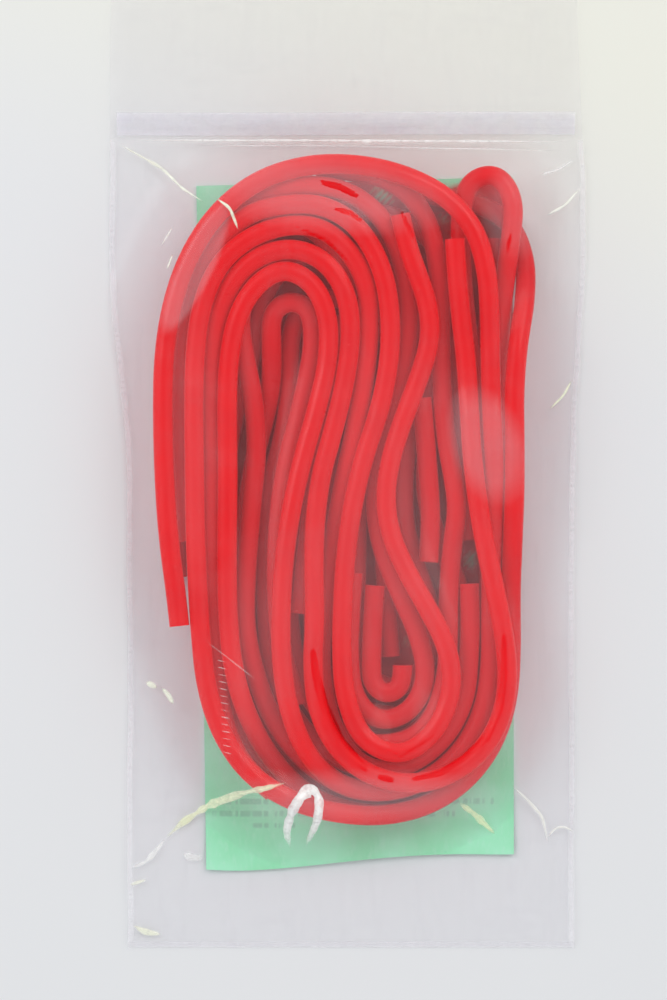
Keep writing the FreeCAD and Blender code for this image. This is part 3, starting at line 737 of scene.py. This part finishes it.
def gap_to_line(x: np.ndarray, y: np.ndarray, line: Sequence[Spot]) -> tuple[np.ndarray, np.ndarray]:
    """How far points are from a line of straight runs.

    Args:
        x: the points' x.
        y: the points' y.
        line: the line's corners.

    Returns:
        The distances, and the share of the line's length at the nearest place.
    """
    best = np.full(x.shape, 1e9)
    share = np.zeros(x.shape)
    lengths = [float(np.hypot(b[0] - a[0], b[1] - a[1])) for a, b in zip(line, line[1:])]
    gone = 0.0
    for (ax, ay), (bx, by), length in zip(line, line[1:], lengths):
        part = np.clip(((x - ax) * (bx - ax) + (y - ay) * (by - ay)) / length**2, 0, 1)
        away = np.hypot(x - ax - part * (bx - ax), y - ay - part * (by - ay))
        nearer = away < best
        best = np.where(nearer, away, best)
        share = np.where(nearer, (gone + part * length) / sum(lengths), share)
        gone += length
    return best, share


# ---------------------------------------------------------------- studio


@dataclass
class Studio:
    """Camera straight above, a table top, a large soft key light and an even surround."""

    middle: Spot = (-2.75, -5.94)
    frame_height: float = 220.0
    focus_height: float = 11.0
    camera_height: float = 1100.0
    sensor: float = 36.0
    table_size: float = 3000.0
    surround: float = 0.95
    zenith: float = 0.35
    zenith_from: float = 0.72
    zenith_to: float = 0.99
    clear_layers: int = 40
    fill_share: float = 0.7
    lamp_gleam: float = 0.35
    key_power: float = 1.7

    def place_camera(self) -> None:
        """Put the camera above the hank, looking straight down."""
        data = bpy.data.cameras.new("camera")
        data.sensor_fit = "VERTICAL"
        data.sensor_height = self.sensor
        data.lens = self.sensor * (self.camera_height - self.focus_height) / self.frame_height
        camera = bpy.data.objects.new("camera", data)
        camera.location = (self.middle[0] * MM, self.middle[1] * MM, self.camera_height * MM)
        bpy.context.scene.collection.objects.link(camera)
        bpy.context.scene.camera = camera

    def light(self, name: str, place: Point, size: float, power: float, colour: Colour) -> None:
        """Add one square soft light that faces the hank."""
        data = bpy.data.lights.new(name, "AREA")
        data.size = size * MM
        data.energy = power
        data.color = colour
        data.specular_factor = self.lamp_gleam
        lamp = bpy.data.objects.new(name, data)
        lamp.location = Vector(place) * MM
        lamp.rotation_euler = (-lamp.location).to_track_quat("-Z", "Y").to_euler()
        bpy.context.scene.collection.objects.link(lamp)

    def set_stage(self) -> None:
        """Add the table top, the lights and the surround."""
        scene = bpy.context.scene
        scene.view_settings.view_transform = "Standard"
        scene.cycles.transparent_max_bounces = self.clear_layers
        bpy.ops.object.select_all(action="DESELECT")
        bpy.ops.mesh.primitive_plane_add(size=self.table_size * MM)
        table = bpy.context.active_object
        table.name = "table_top"
        table.location.z = -0.02 * MM
        table.data.materials.append(TableFinish().make())
        self.light("key", (460.0, 520.0, 760.0), 520.0, self.key_power, (1.0, 0.98, 0.94))
        self.light("fill", (-560.0, 300.0, 640.0), 420.0, self.key_power * self.fill_share, (0.97, 0.98, 1.0))
        self.set_surround()

    def set_surround(self) -> None:
        """Light the scene from all sides, less from straight above, so that level film isn't veiled."""
        world = bpy.data.worlds.new("surround")
        world.use_nodes = True
        nodes, links = world.node_tree.nodes, world.node_tree.links
        place = nodes.new("ShaderNodeTexCoord")
        split = nodes.new("ShaderNodeSeparateXYZ")
        slope = nodes.new("ShaderNodeMapRange")
        slope.inputs["From Min"].default_value = self.zenith_from
        slope.inputs["From Max"].default_value = self.zenith_to
        slope.inputs["To Min"].default_value = self.surround
        slope.inputs["To Max"].default_value = self.surround * self.zenith
        back = nodes["Background"]
        back.inputs["Color"].default_value = (0.97, 0.98, 1.0, 1.0)
        links.new(place.outputs["Generated"], split.inputs[0])
        links.new(split.outputs["Z"], slope.inputs["Value"])
        links.new(slope.outputs["Result"], back.inputs["Strength"])
        bpy.context.scene.world = world


# ---------------------------------------------------------------- hank


@dataclass
class Hank:
    """The cords, each a smooth open curve with its cut ends capped."""

    diameter: float = 4.4
    curve_steps: int = 10
    round_steps: int = 8
    routes: dict[str, list[Point]] = field(default_factory=lambda: WORM_ROUTES)
    lengths: dict[str, float] = field(default_factory=lambda: WORM_LENGTHS)
    lines: dict[str, np.ndarray] = field(default_factory=dict)

    def draw(self, name: str, route: Sequence[Point]) -> bpy.types.Object:
        """Draw one cord and keep the line that it follows.

        Args:
            name: the CAD node's name.
            route: its control points.

        Returns:
            The cord.
        """
        data = bpy.data.curves.new(name + "_cord", "CURVE")
        data.dimensions = "3D"
        spline = data.splines.new("NURBS")
        spline.points.add(len(route) - 1)
        for point, spot in zip(spline.points, route):
            point.co = (*(part * MM for part in spot), 1.0)
        spline.order_u = 3
        spline.use_endpoint_u = True
        data.resolution_u = self.curve_steps
        cord = bpy.data.objects.new(name + "_cord", data)
        bpy.context.scene.collection.objects.link(cord)
        bpy.context.view_layer.update()
        bare = bpy.data.meshes.new_from_object(cord)
        self.lines[name] = np.array([vertex.co for vertex in bare.vertices]) / MM
        bpy.data.meshes.remove(bare)
        data.bevel_depth = self.diameter / 2 * MM
        data.bevel_resolution = self.round_steps
        data.use_fill_caps = True
        return cord

    def build(self) -> None:
        """Draw and dress every cord, and attach it to the pouch."""
        finish = WormFinish().make()
        for name, route in self.routes.items():
            cord = self.draw(name, route)
            dress(cord, finish)
            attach(cord, Body.POUCH.value)
            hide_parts(name)
            LOG.info("%s: %.0f mm of cord", name, self.lengths[name])

    def crest(self, x: np.ndarray, y: np.ndarray) -> np.ndarray:
        """Height of the cords' top surface at points, 0 where there is no cord.

        Args:
            x: the points' x.
            y: the points' y.

        Returns:
            The heights.
        """
        radius = self.diameter / 2
        top = np.zeros(x.size)
        flat_x, flat_y = x.ravel(), y.ravel()
        for line in self.lines.values():
            for (ax, ay, az), (bx, by, bz) in zip(line, line[1:]):
                near = np.flatnonzero((flat_x > min(ax, bx) - radius) & (flat_x < max(ax, bx) + radius)
                                      & (flat_y > min(ay, by) - radius) & (flat_y < max(ay, by) + radius))
                span = (bx - ax) ** 2 + (by - ay) ** 2
                if not near.size or span < 1e-12:
                    continue
                part = ((flat_x[near] - ax) * (bx - ax) + (flat_y[near] - ay) * (by - ay)) / span
                part = np.clip(part, 0, 1)
                away = ((flat_x[near] - ax - part * (bx - ax)) ** 2
                        + (flat_y[near] - ay - part * (by - ay)) ** 2)
                inside = away < radius**2
                height = az + part[inside] * (bz - az) + np.sqrt(radius**2 - away[inside])
                chosen = near[inside]
                top[chosen] = np.maximum(top[chosen], height)
        return top.reshape(x.shape)


    def cover(self, x: np.ndarray, y: np.ndarray, cell: float = 0.7, rounds: int = 16) -> np.ndarray:
        """How far inside the hank points lie: 1 amid the cords, falling to 0 at the hank's edge.

        Args:
            x: the points' x.
            y: the points' y.
            cell: the size of the cells that the cover is worked out on.
            rounds: how often each cell is averaged with its neighbours.

        Returns:
            The shares.
        """
        across, along = np.arange(-60.0, 60.0, cell), np.arange(-110.0, 110.0, cell)
        grid_x, grid_y = np.meshgrid(across, along)
        share = (self.crest(grid_x, grid_y) > 0).astype(float)
        for _ in range(rounds):
            share = sum(np.roll(share, move, axis) for axis in (0, 1) for move in (-1, 1)) / 4
        share = np.clip((share - 0.50) / 0.14, 0, 1)
        return share[((y - along[0]) / cell).astype(int), ((x - across[0]) / cell).astype(int)]


# ---------------------------------------------------------------- pouch


@dataclass(frozen=True)
class PouchShape:
    """The pouch's outline and its main lines."""

    length: float = 210.6
    mouth: float = 105.0
    foot_left: float = -48.5
    foot_right: float = 50.7
    hinge_y: float = 74.58
    hinge_z: float = 2.05
    weld: float = 1.2
    film: float = 0.10

    def side(self, y: np.ndarray, left: bool) -> np.ndarray:
        """The outline's x at heights y up the pouch, drawn in gently beside the hank."""
        share = np.clip((y + 6.0) / 57.0, 0, 1)
        share = share * share * (3 - 2 * share)
        wander = 0.14 * np.sin(y * 0.11 + (0.4 if left else 2.1)) + 0.06 * np.sin(y * 0.31)
        if left:
            lean = 0.02 * np.clip(y - 84.0, 0, None)
            return self.foot_left + share * (-self.mouth / 2 - self.foot_left) + wander + lean
        lean = -0.05 * np.clip(y - 66.0, 0, None)
        return self.foot_right + share * (self.mouth / 2 + 0.6 - self.foot_right) + wander + lean

    def lift(self, y: np.ndarray, left: bool) -> np.ndarray:
        """How far the welded edge stands off the table at heights y up the pouch."""
        turn = 0.9 if left else 2.6
        return 0.35 + 0.30 * (1 + np.sin(y * 0.065 + turn)) + 0.15 * (1 + np.sin(y * 0.21 + turn))


@dataclass(frozen=True)
class Crease:
    """One crease in the front film: its line, half its width, and how bright and warm its painted highlight
    is.
    """

    line: tuple[Spot, ...]
    half_width: float
    gleam: float = 0.8
    warm: float = 0.0
    rise: float = 0.35


@dataclass(frozen=True)
class HazeAndSheen:
    """A patch where the front film stands off the cords, with milky haze and painted sheen."""

    middle: Spot
    half: Spot
    turn: float
    share: float
    lift: float = 0.6
    soft: float = 0.25


@dataclass
class FrontFilm:
    """The front film with its lip: a stretched sheet that rests on the cords."""

    shape: PouchShape
    hank: Hank
    pitch: float = 0.78
    columns: int = 138
    rounds: int = 420
    clearance: float = 0.20
    pull: float = 0.012
    bare_floor: float = 0.45
    zip_margin: float = 1.4
    zip_run: float = 14.0
    edge_stand: float = 0.25
    foot_z: float = 0.55
    full_gap: float = 2.5
    gap_haze_and_sheen: float = 0.010
    patch_haze_and_sheen: float = 0.9
    x: np.ndarray = field(default_factory=lambda: np.zeros(0))
    y: np.ndarray = field(default_factory=lambda: np.zeros(0))
    z: np.ndarray = field(default_factory=lambda: np.zeros(0))

    def lay_out(self) -> None:
        """Place the grid's points inside the outline, closer together at the hinge."""
        low = -self.shape.length / 2 + 0.1
        body = np.arange(low, self.shape.hinge_y - 3.0, self.pitch)
        fold = np.linspace(self.shape.hinge_y - 3.0, self.shape.hinge_y + 1.2, 13)
        lip = np.linspace(self.shape.hinge_y + 2.4, self.shape.length / 2, 15)
        rows = np.concatenate([body, fold, lip])
        across = np.linspace(0, 1, self.columns)[None, :]
        left = self.shape.side(rows, True)[:, None]
        right = self.shape.side(rows, False)[:, None]
        self.x = left + (right - left) * across
        self.y = np.repeat(rows[:, None], self.columns, 1)

    def settle(self) -> None:
        """Find the sheet's height: level at the welds, and on the cords where it meets them."""
        crest = self.hank.crest(self.x, self.y)
        floor = np.where(crest > 0, crest + self.clearance, self.bare_floor)
        for patch in HAZE_AND_SHEEN_PATCHES:
            floor = floor + patch.lift * self.inside(patch) * (crest > 0)
        rows = self.y[:, 0]
        last = int(np.argmax(rows > self.shape.hinge_y - self.zip_margin))
        share = np.clip((self.shape.hinge_y - self.zip_margin - rows) / self.zip_run, 0, 1)[:, None]
        z = np.maximum(floor, self.shape.hinge_z * (1 - share))
        left = self.shape.lift(rows, True) + self.edge_stand
        right = self.shape.lift(rows, False) + self.edge_stand
        for _ in range(self.rounds):
            middle = (z[:-2, 1:-1] + z[2:, 1:-1] + z[1:-1, :-2] + z[1:-1, 2:]) / 4
            z[1:-1, 1:-1] = np.maximum(floor[1:-1, 1:-1], middle - self.pull)
            z[:, 0], z[:, -1] = left, right
            z[0, :] = self.foot_z
            z[last:, 1:-1] = self.shape.hinge_z
        fade = np.clip((rows - (self.shape.hinge_y - 12.0)) / 10.0, 0, 1)
        z[:, 0] = left + (self.shape.hinge_z - left) * fade
        z[:, -1] = right + (self.shape.hinge_z - right) * fade
        lip = rows > self.shape.hinge_y + 1.0
        wave = 0.28 * np.sin(self.x * 0.07 + 0.6) * np.clip((self.y - 80.0) / 25.0, 0, 1)
        z[lip] += wave[lip]
        self.z = z
        self.crest = crest

    def inside(self, patch: HazeAndSheen) -> np.ndarray:
        """How much each point is inside a haze patch, from 0 to 1."""
        cos, sin = np.cos(patch.turn), np.sin(patch.turn)
        dx, dy = self.x - patch.middle[0], self.y - patch.middle[1]
        away = np.hypot((dx * cos + dy * sin) / patch.half[0], (dy * cos - dx * sin) / patch.half[1])
        return np.clip((1 + patch.soft - away) / (2 * patch.soft), 0, 1)

    def crease_up(self) -> None:
        """Raise the sheet along each crease."""
        for crease in CREASES:
            away, share = gap_to_line(self.x, self.y, crease.line)
            taper = np.sqrt(np.clip(4 * share * (1 - share), 0.0, 1))
            reach = crease.half_width + 0.9
            ridge = crease.rise * taper * np.exp(-((away / reach) ** 2))
            inner = slice(2, -2)
            self.z[inner, inner] += ridge[inner, inner]

    def at(self, x: float, y: float) -> float:
        """The sheet's height at a point, from the nearest grid points."""
        row = int(np.clip(np.searchsorted(self.y[:, 0], y) - 1, 0, len(self.y) - 2))
        part_y = np.clip((y - self.y[row, 0]) / (self.y[row + 1, 0] - self.y[row, 0]), 0, 1)
        heights = [np.interp(x, self.x[line], self.z[line]) for line in (row, row + 1)]
        return float(heights[0] + (heights[1] - heights[0]) * part_y)

    def build(self) -> bpy.types.Object:
        """Make the sheet, with its wet marks and its milky haze and painted sheen, and bend it over the
        hinge.
        """
        self.lay_out()
        self.settle()
        self.crease_up()
        points = np.stack([self.x, self.y, self.z], -1).reshape(-1, 3)
        sheet = link_mesh("front_film_sheet", points.tolist(), grid_faces(*self.x.shape))
        wet = np.full(self.x.shape, -3.0)
        for line, half_width in WET_MARKS:
            away, share = gap_to_line(self.x, self.y, line)
            taper = 0.45 + 0.55 * np.sqrt(np.clip(4 * share * (1 - share), 0, 1))
            wet = np.maximum(wet, half_width * taper - away)
        gap = np.where(self.crest > 0, self.z - self.crest - self.clearance, 3.0)
        # milky haze and painted sheen, growing with the film's gap above the cords and inside the patches
        haze = self.gap_haze_and_sheen * np.clip(gap / self.full_gap, 0, 1)
        for patch in HAZE_AND_SHEEN_PATCHES:
            haze = haze + self.patch_haze_and_sheen * patch.share * self.inside(patch)
        give(sheet, "wet", wet)
        give(sheet, "haze", haze * (self.y < self.shape.hinge_y))
        modify(sheet, "SOLIDIFY", thickness=self.shape.film * MM, offset=1.0, use_even_offset=False)
        smooth(sheet, 60.0)
        dress(sheet, FilmFinish("front_film_clear", fitted=True).make())
        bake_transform(sheet)
        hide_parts("front_film", "front_lip")
        LOG.info("front film: %d points", len(sheet.data.vertices))
        return sheet


@dataclass
class FilmCreases:
    """The creases, each a thin raised fold that follows the front film, with a painted highlight along it."""

    film: FrontFilm
    step: float = 0.7
    height: float = 0.16
    foot_gleam: float = 0.55
    fade_rate: float = 6.0

    def strand(self, crease: Crease) -> tuple[list[Point], list[float]]:
        """Points of one fold: left foot, ridge and right foot at each step along its line.

        Args:
            crease: the crease.

        Returns:
            The points, and how bright the painted highlight is at each.
        """
        corners = np.array(crease.line)
        lengths = np.hypot(*np.diff(corners, axis=0).T)
        gone = np.concatenate([[0], np.cumsum(lengths)])
        count = max(6, int(gone[-1] / self.step))
        along = np.linspace(0, gone[-1], count)
        line = np.stack([np.interp(along, gone, corners[:, 0]), np.interp(along, gone, corners[:, 1])], -1)
        for _ in range(max(1, count // 8)):
            line[1:-1] = (line[:-2] + 2 * line[1:-1] + line[2:]) / 4
        run = np.gradient(line, axis=0)
        run /= np.maximum(np.hypot(run[:, 0], run[:, 1]), 1e-9)[:, None]
        points, gleams = [], []
        for spot, (dx, dy), share in zip(line, run, np.linspace(0, 1, count)):
            ragged = 0.75 + 0.5 * noise.noise(Vector((spot[0] * 0.55, spot[1] * 0.55, 0.0)))
            half = crease.half_width * max(0.04, float(np.sin(np.pi * share)) ** 0.6) * ragged
            for side in (-1, 0, 1):
                x, y = spot[0] - dy * half * side, spot[1] + dx * half * side
                rise = self.film.shape.film + 0.03 + (self.height if side == 0 else 0.0)
                points.append((x, y, self.film.at(x, y) + rise))
                fade = min(1.0, self.fade_rate * share, self.fade_rate * (1 - share))
                gleams.append(crease.gleam * (1.0 if side == 0 else self.foot_gleam) * fade)
        return points, gleams

    def build(self) -> bpy.types.Object:
        """Make all the folds as one piece."""
        points, faces, gleams, warms = [], [], [], []
        for crease in CREASES:
            if crease.gleam <= 0:
                continue
            strand, bright = self.strand(crease)
            start = len(points)
            points += strand
            gleams += bright
            warms += [crease.warm] * len(strand)
            for row in range(len(strand) // 3 - 1):
                for side in (0, 1):
                    first = start + row * 3 + side
                    faces.append((first, first + 3, first + 4, first + 1))
        folds = link_mesh("film_creases", points, faces)
        give(folds, "gleam", np.array(gleams))
        give(folds, "warm", np.array(warms))
        modify(folds, "SOLIDIFY", thickness=0.02 * MM, offset=-1.0)
        smooth(folds, 80.0)
        dress(folds, CreaseFinish().make())
        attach(folds, Body.POUCH.value)
        LOG.info("film creases: %d", len(CREASES))
        return folds


@dataclass
class BackFilm:
    """The back film on the table, with edges that lift a little."""

    shape: PouchShape
    columns: int = 70
    rows: int = 132
    base_z: float = 0.06
    edge_reach: float = 4.0
    card_middle: float = 2.0
    card_half: float = 40.0

    def build(self) -> bpy.types.Object:
        """Make the sheet."""
        rows = np.linspace(-self.shape.length / 2, self.shape.length / 2, self.rows)
        across = np.linspace(0, 1, self.columns)[None, :]
        left = self.shape.side(rows, True)[:, None]
        right = self.shape.side(rows, False)[:, None]
        x = left + (right - left) * across
        y = np.repeat(rows[:, None], self.columns, 1)
        near_left = np.exp(-(((x - left) / self.edge_reach) ** 2))
        near_right = np.exp(-(((right - x) / self.edge_reach) ** 2))
        z = (self.base_z + self.shape.lift(rows, True)[:, None] * near_left
             + self.shape.lift(rows, False)[:, None] * near_right)
        outside = np.abs(x - self.card_middle) > self.card_half
        z += np.where(outside, 0.05 * (1 + np.sin(x * 0.5 + y * 0.13)), 0.0)
        points = np.stack([x, y, z], -1).reshape(-1, 3)
        sheet = link_mesh("back_film_sheet", points.tolist(), grid_faces(*x.shape))
        modify(sheet, "SOLIDIFY", thickness=0.06 * MM, offset=1.0)
        smooth(sheet, 60.0)
        dress(sheet, FilmFinish("back_film_clear", plain_haze=0.01, streak_haze=0.02).make())
        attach(sheet, Body.POUCH.value)
        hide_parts("back_film")
        return sheet


@dataclass
class Welds:
    """The welded side edges and foot: thin crimped strips that follow the outline."""

    shape: PouchShape
    thick: float = 0.30
    step: float = 1.0
    finish: Optional[bpy.types.Material] = None

    def strip(self, name: str, inner: np.ndarray, outer: np.ndarray, node: str) -> None:
        """Make one strip between two edge lines.

        Args:
            name: the piece's name.
            inner: points of its inner edge.
            outer: points of its outer edge.
            node: the CAD node that it stands for.
        """
        count = len(inner)
        middle = (inner + outer) / 2
        middle[:, 2] += 0.06 * np.sin(np.arange(count) * 1.7)
        points = np.stack([outer, middle, inner], 1).reshape(-1, 3)
        faces = grid_faces(count, 3)
        weld = link_mesh(name, points.tolist(), faces)
        modify(weld, "SOLIDIFY", thickness=self.thick * MM, offset=0.0)
        face_outwards(weld)
        smooth(weld, 50.0)
        dress(weld, self.finish)
        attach(weld, Body.POUCH.value)
        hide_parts(node)

    def build(self) -> None:
        """Make the three strips."""
        self.finish = WeldFinish("weld_clear").make()
        top = self.shape.hinge_y - 0.1
        foot = -self.shape.length / 2
        y = np.arange(foot + self.shape.weld, top, self.step)
        for left, name in ((True, "left_seal"), (False, "right_seal")):
            x = self.shape.side(y, left)
            z = self.shape.lift(y, left) + 0.16
            inward = self.shape.weld if left else -self.shape.weld
            self.strip(name + "_strip", np.stack([x + inward, y, z], -1), np.stack([x, y, z], -1), name)
        left_foot, right_foot = (self.shape.side(np.array([foot]), left)[0] for left in (True, False))
        x = np.linspace(left_foot, right_foot, 90)
        z = np.full(x.size, 0.32)
        inner = np.stack([x, np.full(x.size, foot + self.shape.weld), z], -1)
        outer = np.stack([x, np.full(x.size, foot), z], -1)
        self.strip("bottom_seal_strip", inner, outer, "bottom_seal")


@dataclass
class Zip:
    """The grip seal's two halves, each a ribbed moulded strip."""

    shape: PouchShape
    middle_y: float = 77.6
    half_length: float = 50.9
    finish: Optional[bpy.types.Material] = None

    def profile(self, name: str, section: Sequence[Spot], node: str, body: Body) -> None:
        """Sweep a closed section along the zip.

        Args:
            name: the piece's name.
            section: its (y, z) corners, anticlockwise seen from the right.
            node: the CAD node that it stands for.
            body: the body it rides on.
        """
        stations = np.linspace(-self.half_length, self.half_length, 72)
        points = []
        for x in stations:
            bow = 0.12 * np.sin(x * 0.05)
            points += [(x, self.middle_y + y + bow, z) for y, z in section]
        corners = len(section)
        faces = [tuple(reversed(range(corners))),
                 tuple((len(stations) - 1) * corners + corner for corner in range(corners))]
        for row in range(len(stations) - 1):
            for corner in range(corners):
                following = (corner + 1) % corners
                faces.append((row * corners + corner, row * corners + following,
                              (row + 1) * corners + following, (row + 1) * corners + corner))
        strip = link_mesh(name, points, faces)
        face_outwards(strip)
        modify(strip, "BEVEL", width=0.05 * MM, segments=2, limit_method="ANGLE")
        smooth(strip, 40.0)
        dress(strip, self.finish)
        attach(strip, body.value)
        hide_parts(node)

    def build(self) -> None:
        """Make the bead half and the groove half."""
        self.finish = WeldFinish("zip_clear", tint=(0.93, 0.91, 0.99), share=0.13, line_pitch=3.0).make()
        bead = [(-2.5, 0.2), (2.5, 0.2), (2.5, 0.5), (0.35, 0.5), (0.35, 1.15), (0.18, 1.3), (-0.18, 1.3),
                (-0.35, 1.15), (-0.35, 0.5), (-2.5, 0.5)]
        self.profile("zip_bead_strip", bead, "zip_rib", Body.POUCH)
        groove = [(-2.5, 1.65), (-1.1, 1.65), (-1.1, 0.75), (-0.75, 0.75), (-0.75, 1.65), (0.75, 1.65),
                  (0.75, 0.75), (1.1, 0.75), (1.1, 1.65), (2.5, 1.65), (2.5, 1.95), (2.2, 2.0), (-2.2, 2.0),
                  (-2.5, 1.95)]
        self.profile("zip_groove_strip", groove, "zip_channel", Body.LIP)


@dataclass
class Card:
    """The backing card, turned a little, with a wavy foot."""

    hank: Hank
    foot_left: Spot = (-31.0, -88.0)
    foot_right: Spot = (37.3, -84.6)
    head_left: Spot = (-33.2, 63.8)
    head_right: Spot = (37.0, 65.8)
    thick: float = 0.4
    base_z: float = 0.3

    def build(self) -> bpy.types.Object:
        """Cut the card from a subdivided plane, bend its foot, and store where the cords lie on it, for the
        painted red light and shade there.
        """
        bpy.ops.object.select_all(action="DESELECT")
        bpy.ops.mesh.primitive_grid_add(x_subdivisions=92, y_subdivisions=190, size=2.0)
        card = bpy.context.active_object
        card.name = card.data.name = "backing_card_sheet"
        foot_line = np.array([self.foot_left, self.foot_right])
        head_line = np.array([self.head_left, self.head_right])
        for vertex in card.data.vertices:
            u, v = vertex.co.x, vertex.co.y
            low, high = (line[0] + (line[1] - line[0]) * (u + 1) / 2 for line in (foot_line, head_line))
            x, y = low + (high - low) * (v + 1) / 2
            foot = max(0.0, -v) ** 6
            y += foot * 0.8 * np.sin(u * 2.6 + 0.5) * (1 - abs(u) ** 6)
            lift = foot * 0.35 * (1 + np.sin(u * 3.3 + 1.2))
            curl = max(0.0, -v - 0.9) * 4.0 * abs(u) ** 4
            vertex.co = (x * MM, y * MM, (self.base_z + lift + curl) * MM)
        spots = np.array([vertex.co for vertex in card.data.vertices]) / MM
        # where the cords lie, for the card's painted red light and shade
        give(card, "under_cord", self.hank.cover(spots[:, 0], spots[:, 1]))
        modify(card, "SOLIDIFY", thickness=self.thick * MM, offset=1.0)
        smooth(card, 40.0)
        dress(card, CardFinish().make())
        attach(card, Body.POUCH.value)
        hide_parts("backing_card")
        return card


# ---------------------------------------------------------------- creases with painted highlights, haze with painted sheen, and wet marks

# each crease carries a painted highlight along its line
CREASES = [
    # from the left edge over the card's corner to the hank
    Crease(((-50.2, 73.0), (-46.0, 70.6), (-40.9, 67.8), (-36.1, 62.9), (-31.2, 59.6)), 0.41, 0.98, 0.3, 0.8),
    Crease(((-28.6, 60.4), (-25.4, 58.0), (-23.6, 53.2)), 0.43, 1.00, 0.5, 0.3),
    Crease(((-39.4, 44.7), (-38.1, 48.2)), 0.35, 0.92, 0.3, 0.3),
    Crease(((-40.8, 50.2), (-38.2, 54.4)), 0.26, 0.57, 0.2, 0.3),
    # right edge
    Crease(((44.2, 57.0), (48.6, 59.4), (52.0, 63.3)), 0.38, 0.98, 0.2, 0.5),
    Crease(((42.7, 66.0), (47.1, 67.3), (50.6, 69.6)), 0.32, 0.40, 0.0, 0.5),
    Crease(((44.9, 14.0), (48.2, 17.2), (50.2, 20.8)), 0.35, 0.80, 0.7, 0.4),
    # foot, left
    Crease(((-40.0, -81.0), (-36.4, -77.6), (-30.4, -73.6), (-22.0, -70.2), (-13.0, -67.9)),
           1.23, 0.86, 0.75, 0.8),
    Crease(((-12.2, -83.2), (-13.3, -79.4), (-11.9, -74.2), (-9.6, -70.4), (-7.2, -69.0), (-5.7, -71.6),
            (-6.3, -76.6), (-8.8, -82.4)), 1.67, 1.00, 0.0, 0.7),
    Crease(((-44.4, -46.4), (-43.2, -46.8), (-41.8, -47.6)), 1.01, 0.92, 0.4, 0.5),
    Crease(((-40.9, -47.5), (-39.4, -48.8), (-38.1, -51.2)), 0.85, 0.92, 0.4, 0.5),
    Crease(((-47.6, -87.6), (-44.2, -86.2), (-41.8, -83.4), (-39.9, -80.9)), 0.71, 0.63, 0.0, 0.6),
    Crease(((-48.0, -91.4), (-44.2, -90.2)), 0.57, 0.80, 0.3, 0.4),
    Crease(((-47.3, -100.3), (-44.8, -101.8), (-41.0, -102.4)), 0.85, 0.92, 0.4, 0.5),
    Crease(((-36.2, -84.6), (-33.4, -85.6), (-31.8, -85.0)), 1.22, 0.40, 0.0, 0.4),
    # foot, right
    Crease(((36.8, -69.2), (40.6, -72.8), (43.6, -76.2), (44.9, -82.0)), 0.41, 0.86, 0.1, 0.7),
    Crease(((44.6, -81.0), (46.6, -78.7), (48.6, -78.4), (51.0, -79.9)), 0.35, 0.80, 0.1, 0.5),
    Crease(((24.8, -72.6), (28.6, -75.6), (33.2, -80.2)), 0.90, 0.57, 0.95, 0.5),
    # over the left legs
    Crease(((-31.0, -36.7), (-25.8, -40.6), (-19.6, -45.6)), 0.23, 0.18, 0.0, 0.25),
    # along the foot of the zip
    Crease(((-49.0, 73.9), (-28.0, 73.75), (-6.0, 73.7), (18.0, 73.6), (50.0, 73.5)), 0.38, 0.92, 0.0, 0.2),
    Crease(((-34.0, 72.7), (-8.0, 72.4), (20.0, 71.9), (49.0, 71.5)), 0.26, 0.40, 0.0, 0.2),
]
CREASES += [Crease(((-28.4 + 0.10 * tick, -41.0 - 1.55 * tick), (-26.2 + 0.10 * tick, -41.5 - 1.55 * tick)),
                   0.16, 0.30, 0.0, 0.12) for tick in range(14)]

# patches of milky haze and painted sheen where the film stands off the cords
HAZE_AND_SHEEN_PATCHES = [
    HazeAndSheen((22.0, -40.0), (16.0, 26.0), 0.3, 0.012, 0.1, 0.5),
    HazeAndSheen((-33.5, 5.0), (5.0, 30.0), 0.0, 0.018, 0.1, 0.4),
    HazeAndSheen((31.0, 6.0), (7.0, 11.5), 0.35, 0.065, 0.7, 0.25),
    HazeAndSheen((-5.0, 61.5), (24.0, 7.0), -0.1, 0.07, 0.6, 0.35),
    HazeAndSheen((-33.0, 45.0), (3.6, 15.0), -0.45, 0.07, 0.5, 0.10),
    HazeAndSheen((4.0, -71.5), (26.0, 5.0), 0.0, 0.07, 0.5, 0.4),
    HazeAndSheen((9.0, -10.0), (19.0, 34.0), 0.1, 0.020, 0.2, 0.5),
    HazeAndSheen((-18.0, -40.0), (11.0, 22.0), -0.2, 0.025, 0.2, 0.5),
    HazeAndSheen((37.0, 58.0), (6.0, 9.0), 0.0, 0.04, 0.4, 0.3),
]

WET_MARKS = [
    (((-5.7, 63.8), (-1.6, 62.8), (2.8, 60.6)), 0.75),
    (((-2.4, 57.9), (0.8, 57.0), (3.6, 55.1)), 0.6),
    (((-10.8, 53.9), (-4.6, 51.3), (0.4, 46.4)), 0.45),
    (((12.3, 57.0), (13.4, 54.3), (14.6, 51.7)), 0.55),
    (((36.1, 52.4), (35.5, 48.6)), 0.5),
    (((-7.3, -38.9), (-6.6, -44.4), (-4.8, -51.0), (-1.3, -58.7), (4.4, -65.1)), 1.05),
    (((7.0, -66.6), (10.5, -67.4)), 0.7),
    (((14.5, -67.2), (20.7, -65.9), (25.7, -62.6), (30.8, -58.1), (33.6, -52.1), (34.6, -45.5),
      (34.6, -35.4)), 0.8),
    (((5.7, -58.3), (11.9, -62.3), (20.0, -57.2)), 0.3),
]


# ---------------------------------------------------------------- the whole packet


def main() -> None:
    """Build every piece in order."""
    studio = Studio()
    studio.place_camera()
    hank = Hank()
    hank.build()
    shape = PouchShape()
    film = FrontFilm(shape, hank)
    film.build()
    FilmCreases(film).build()
    BackFilm(shape).build()
    Welds(shape).build()
    Zip(shape).build()
    Card(hank).build()
    studio.set_stage()


if __name__ == "__main__":
    main()
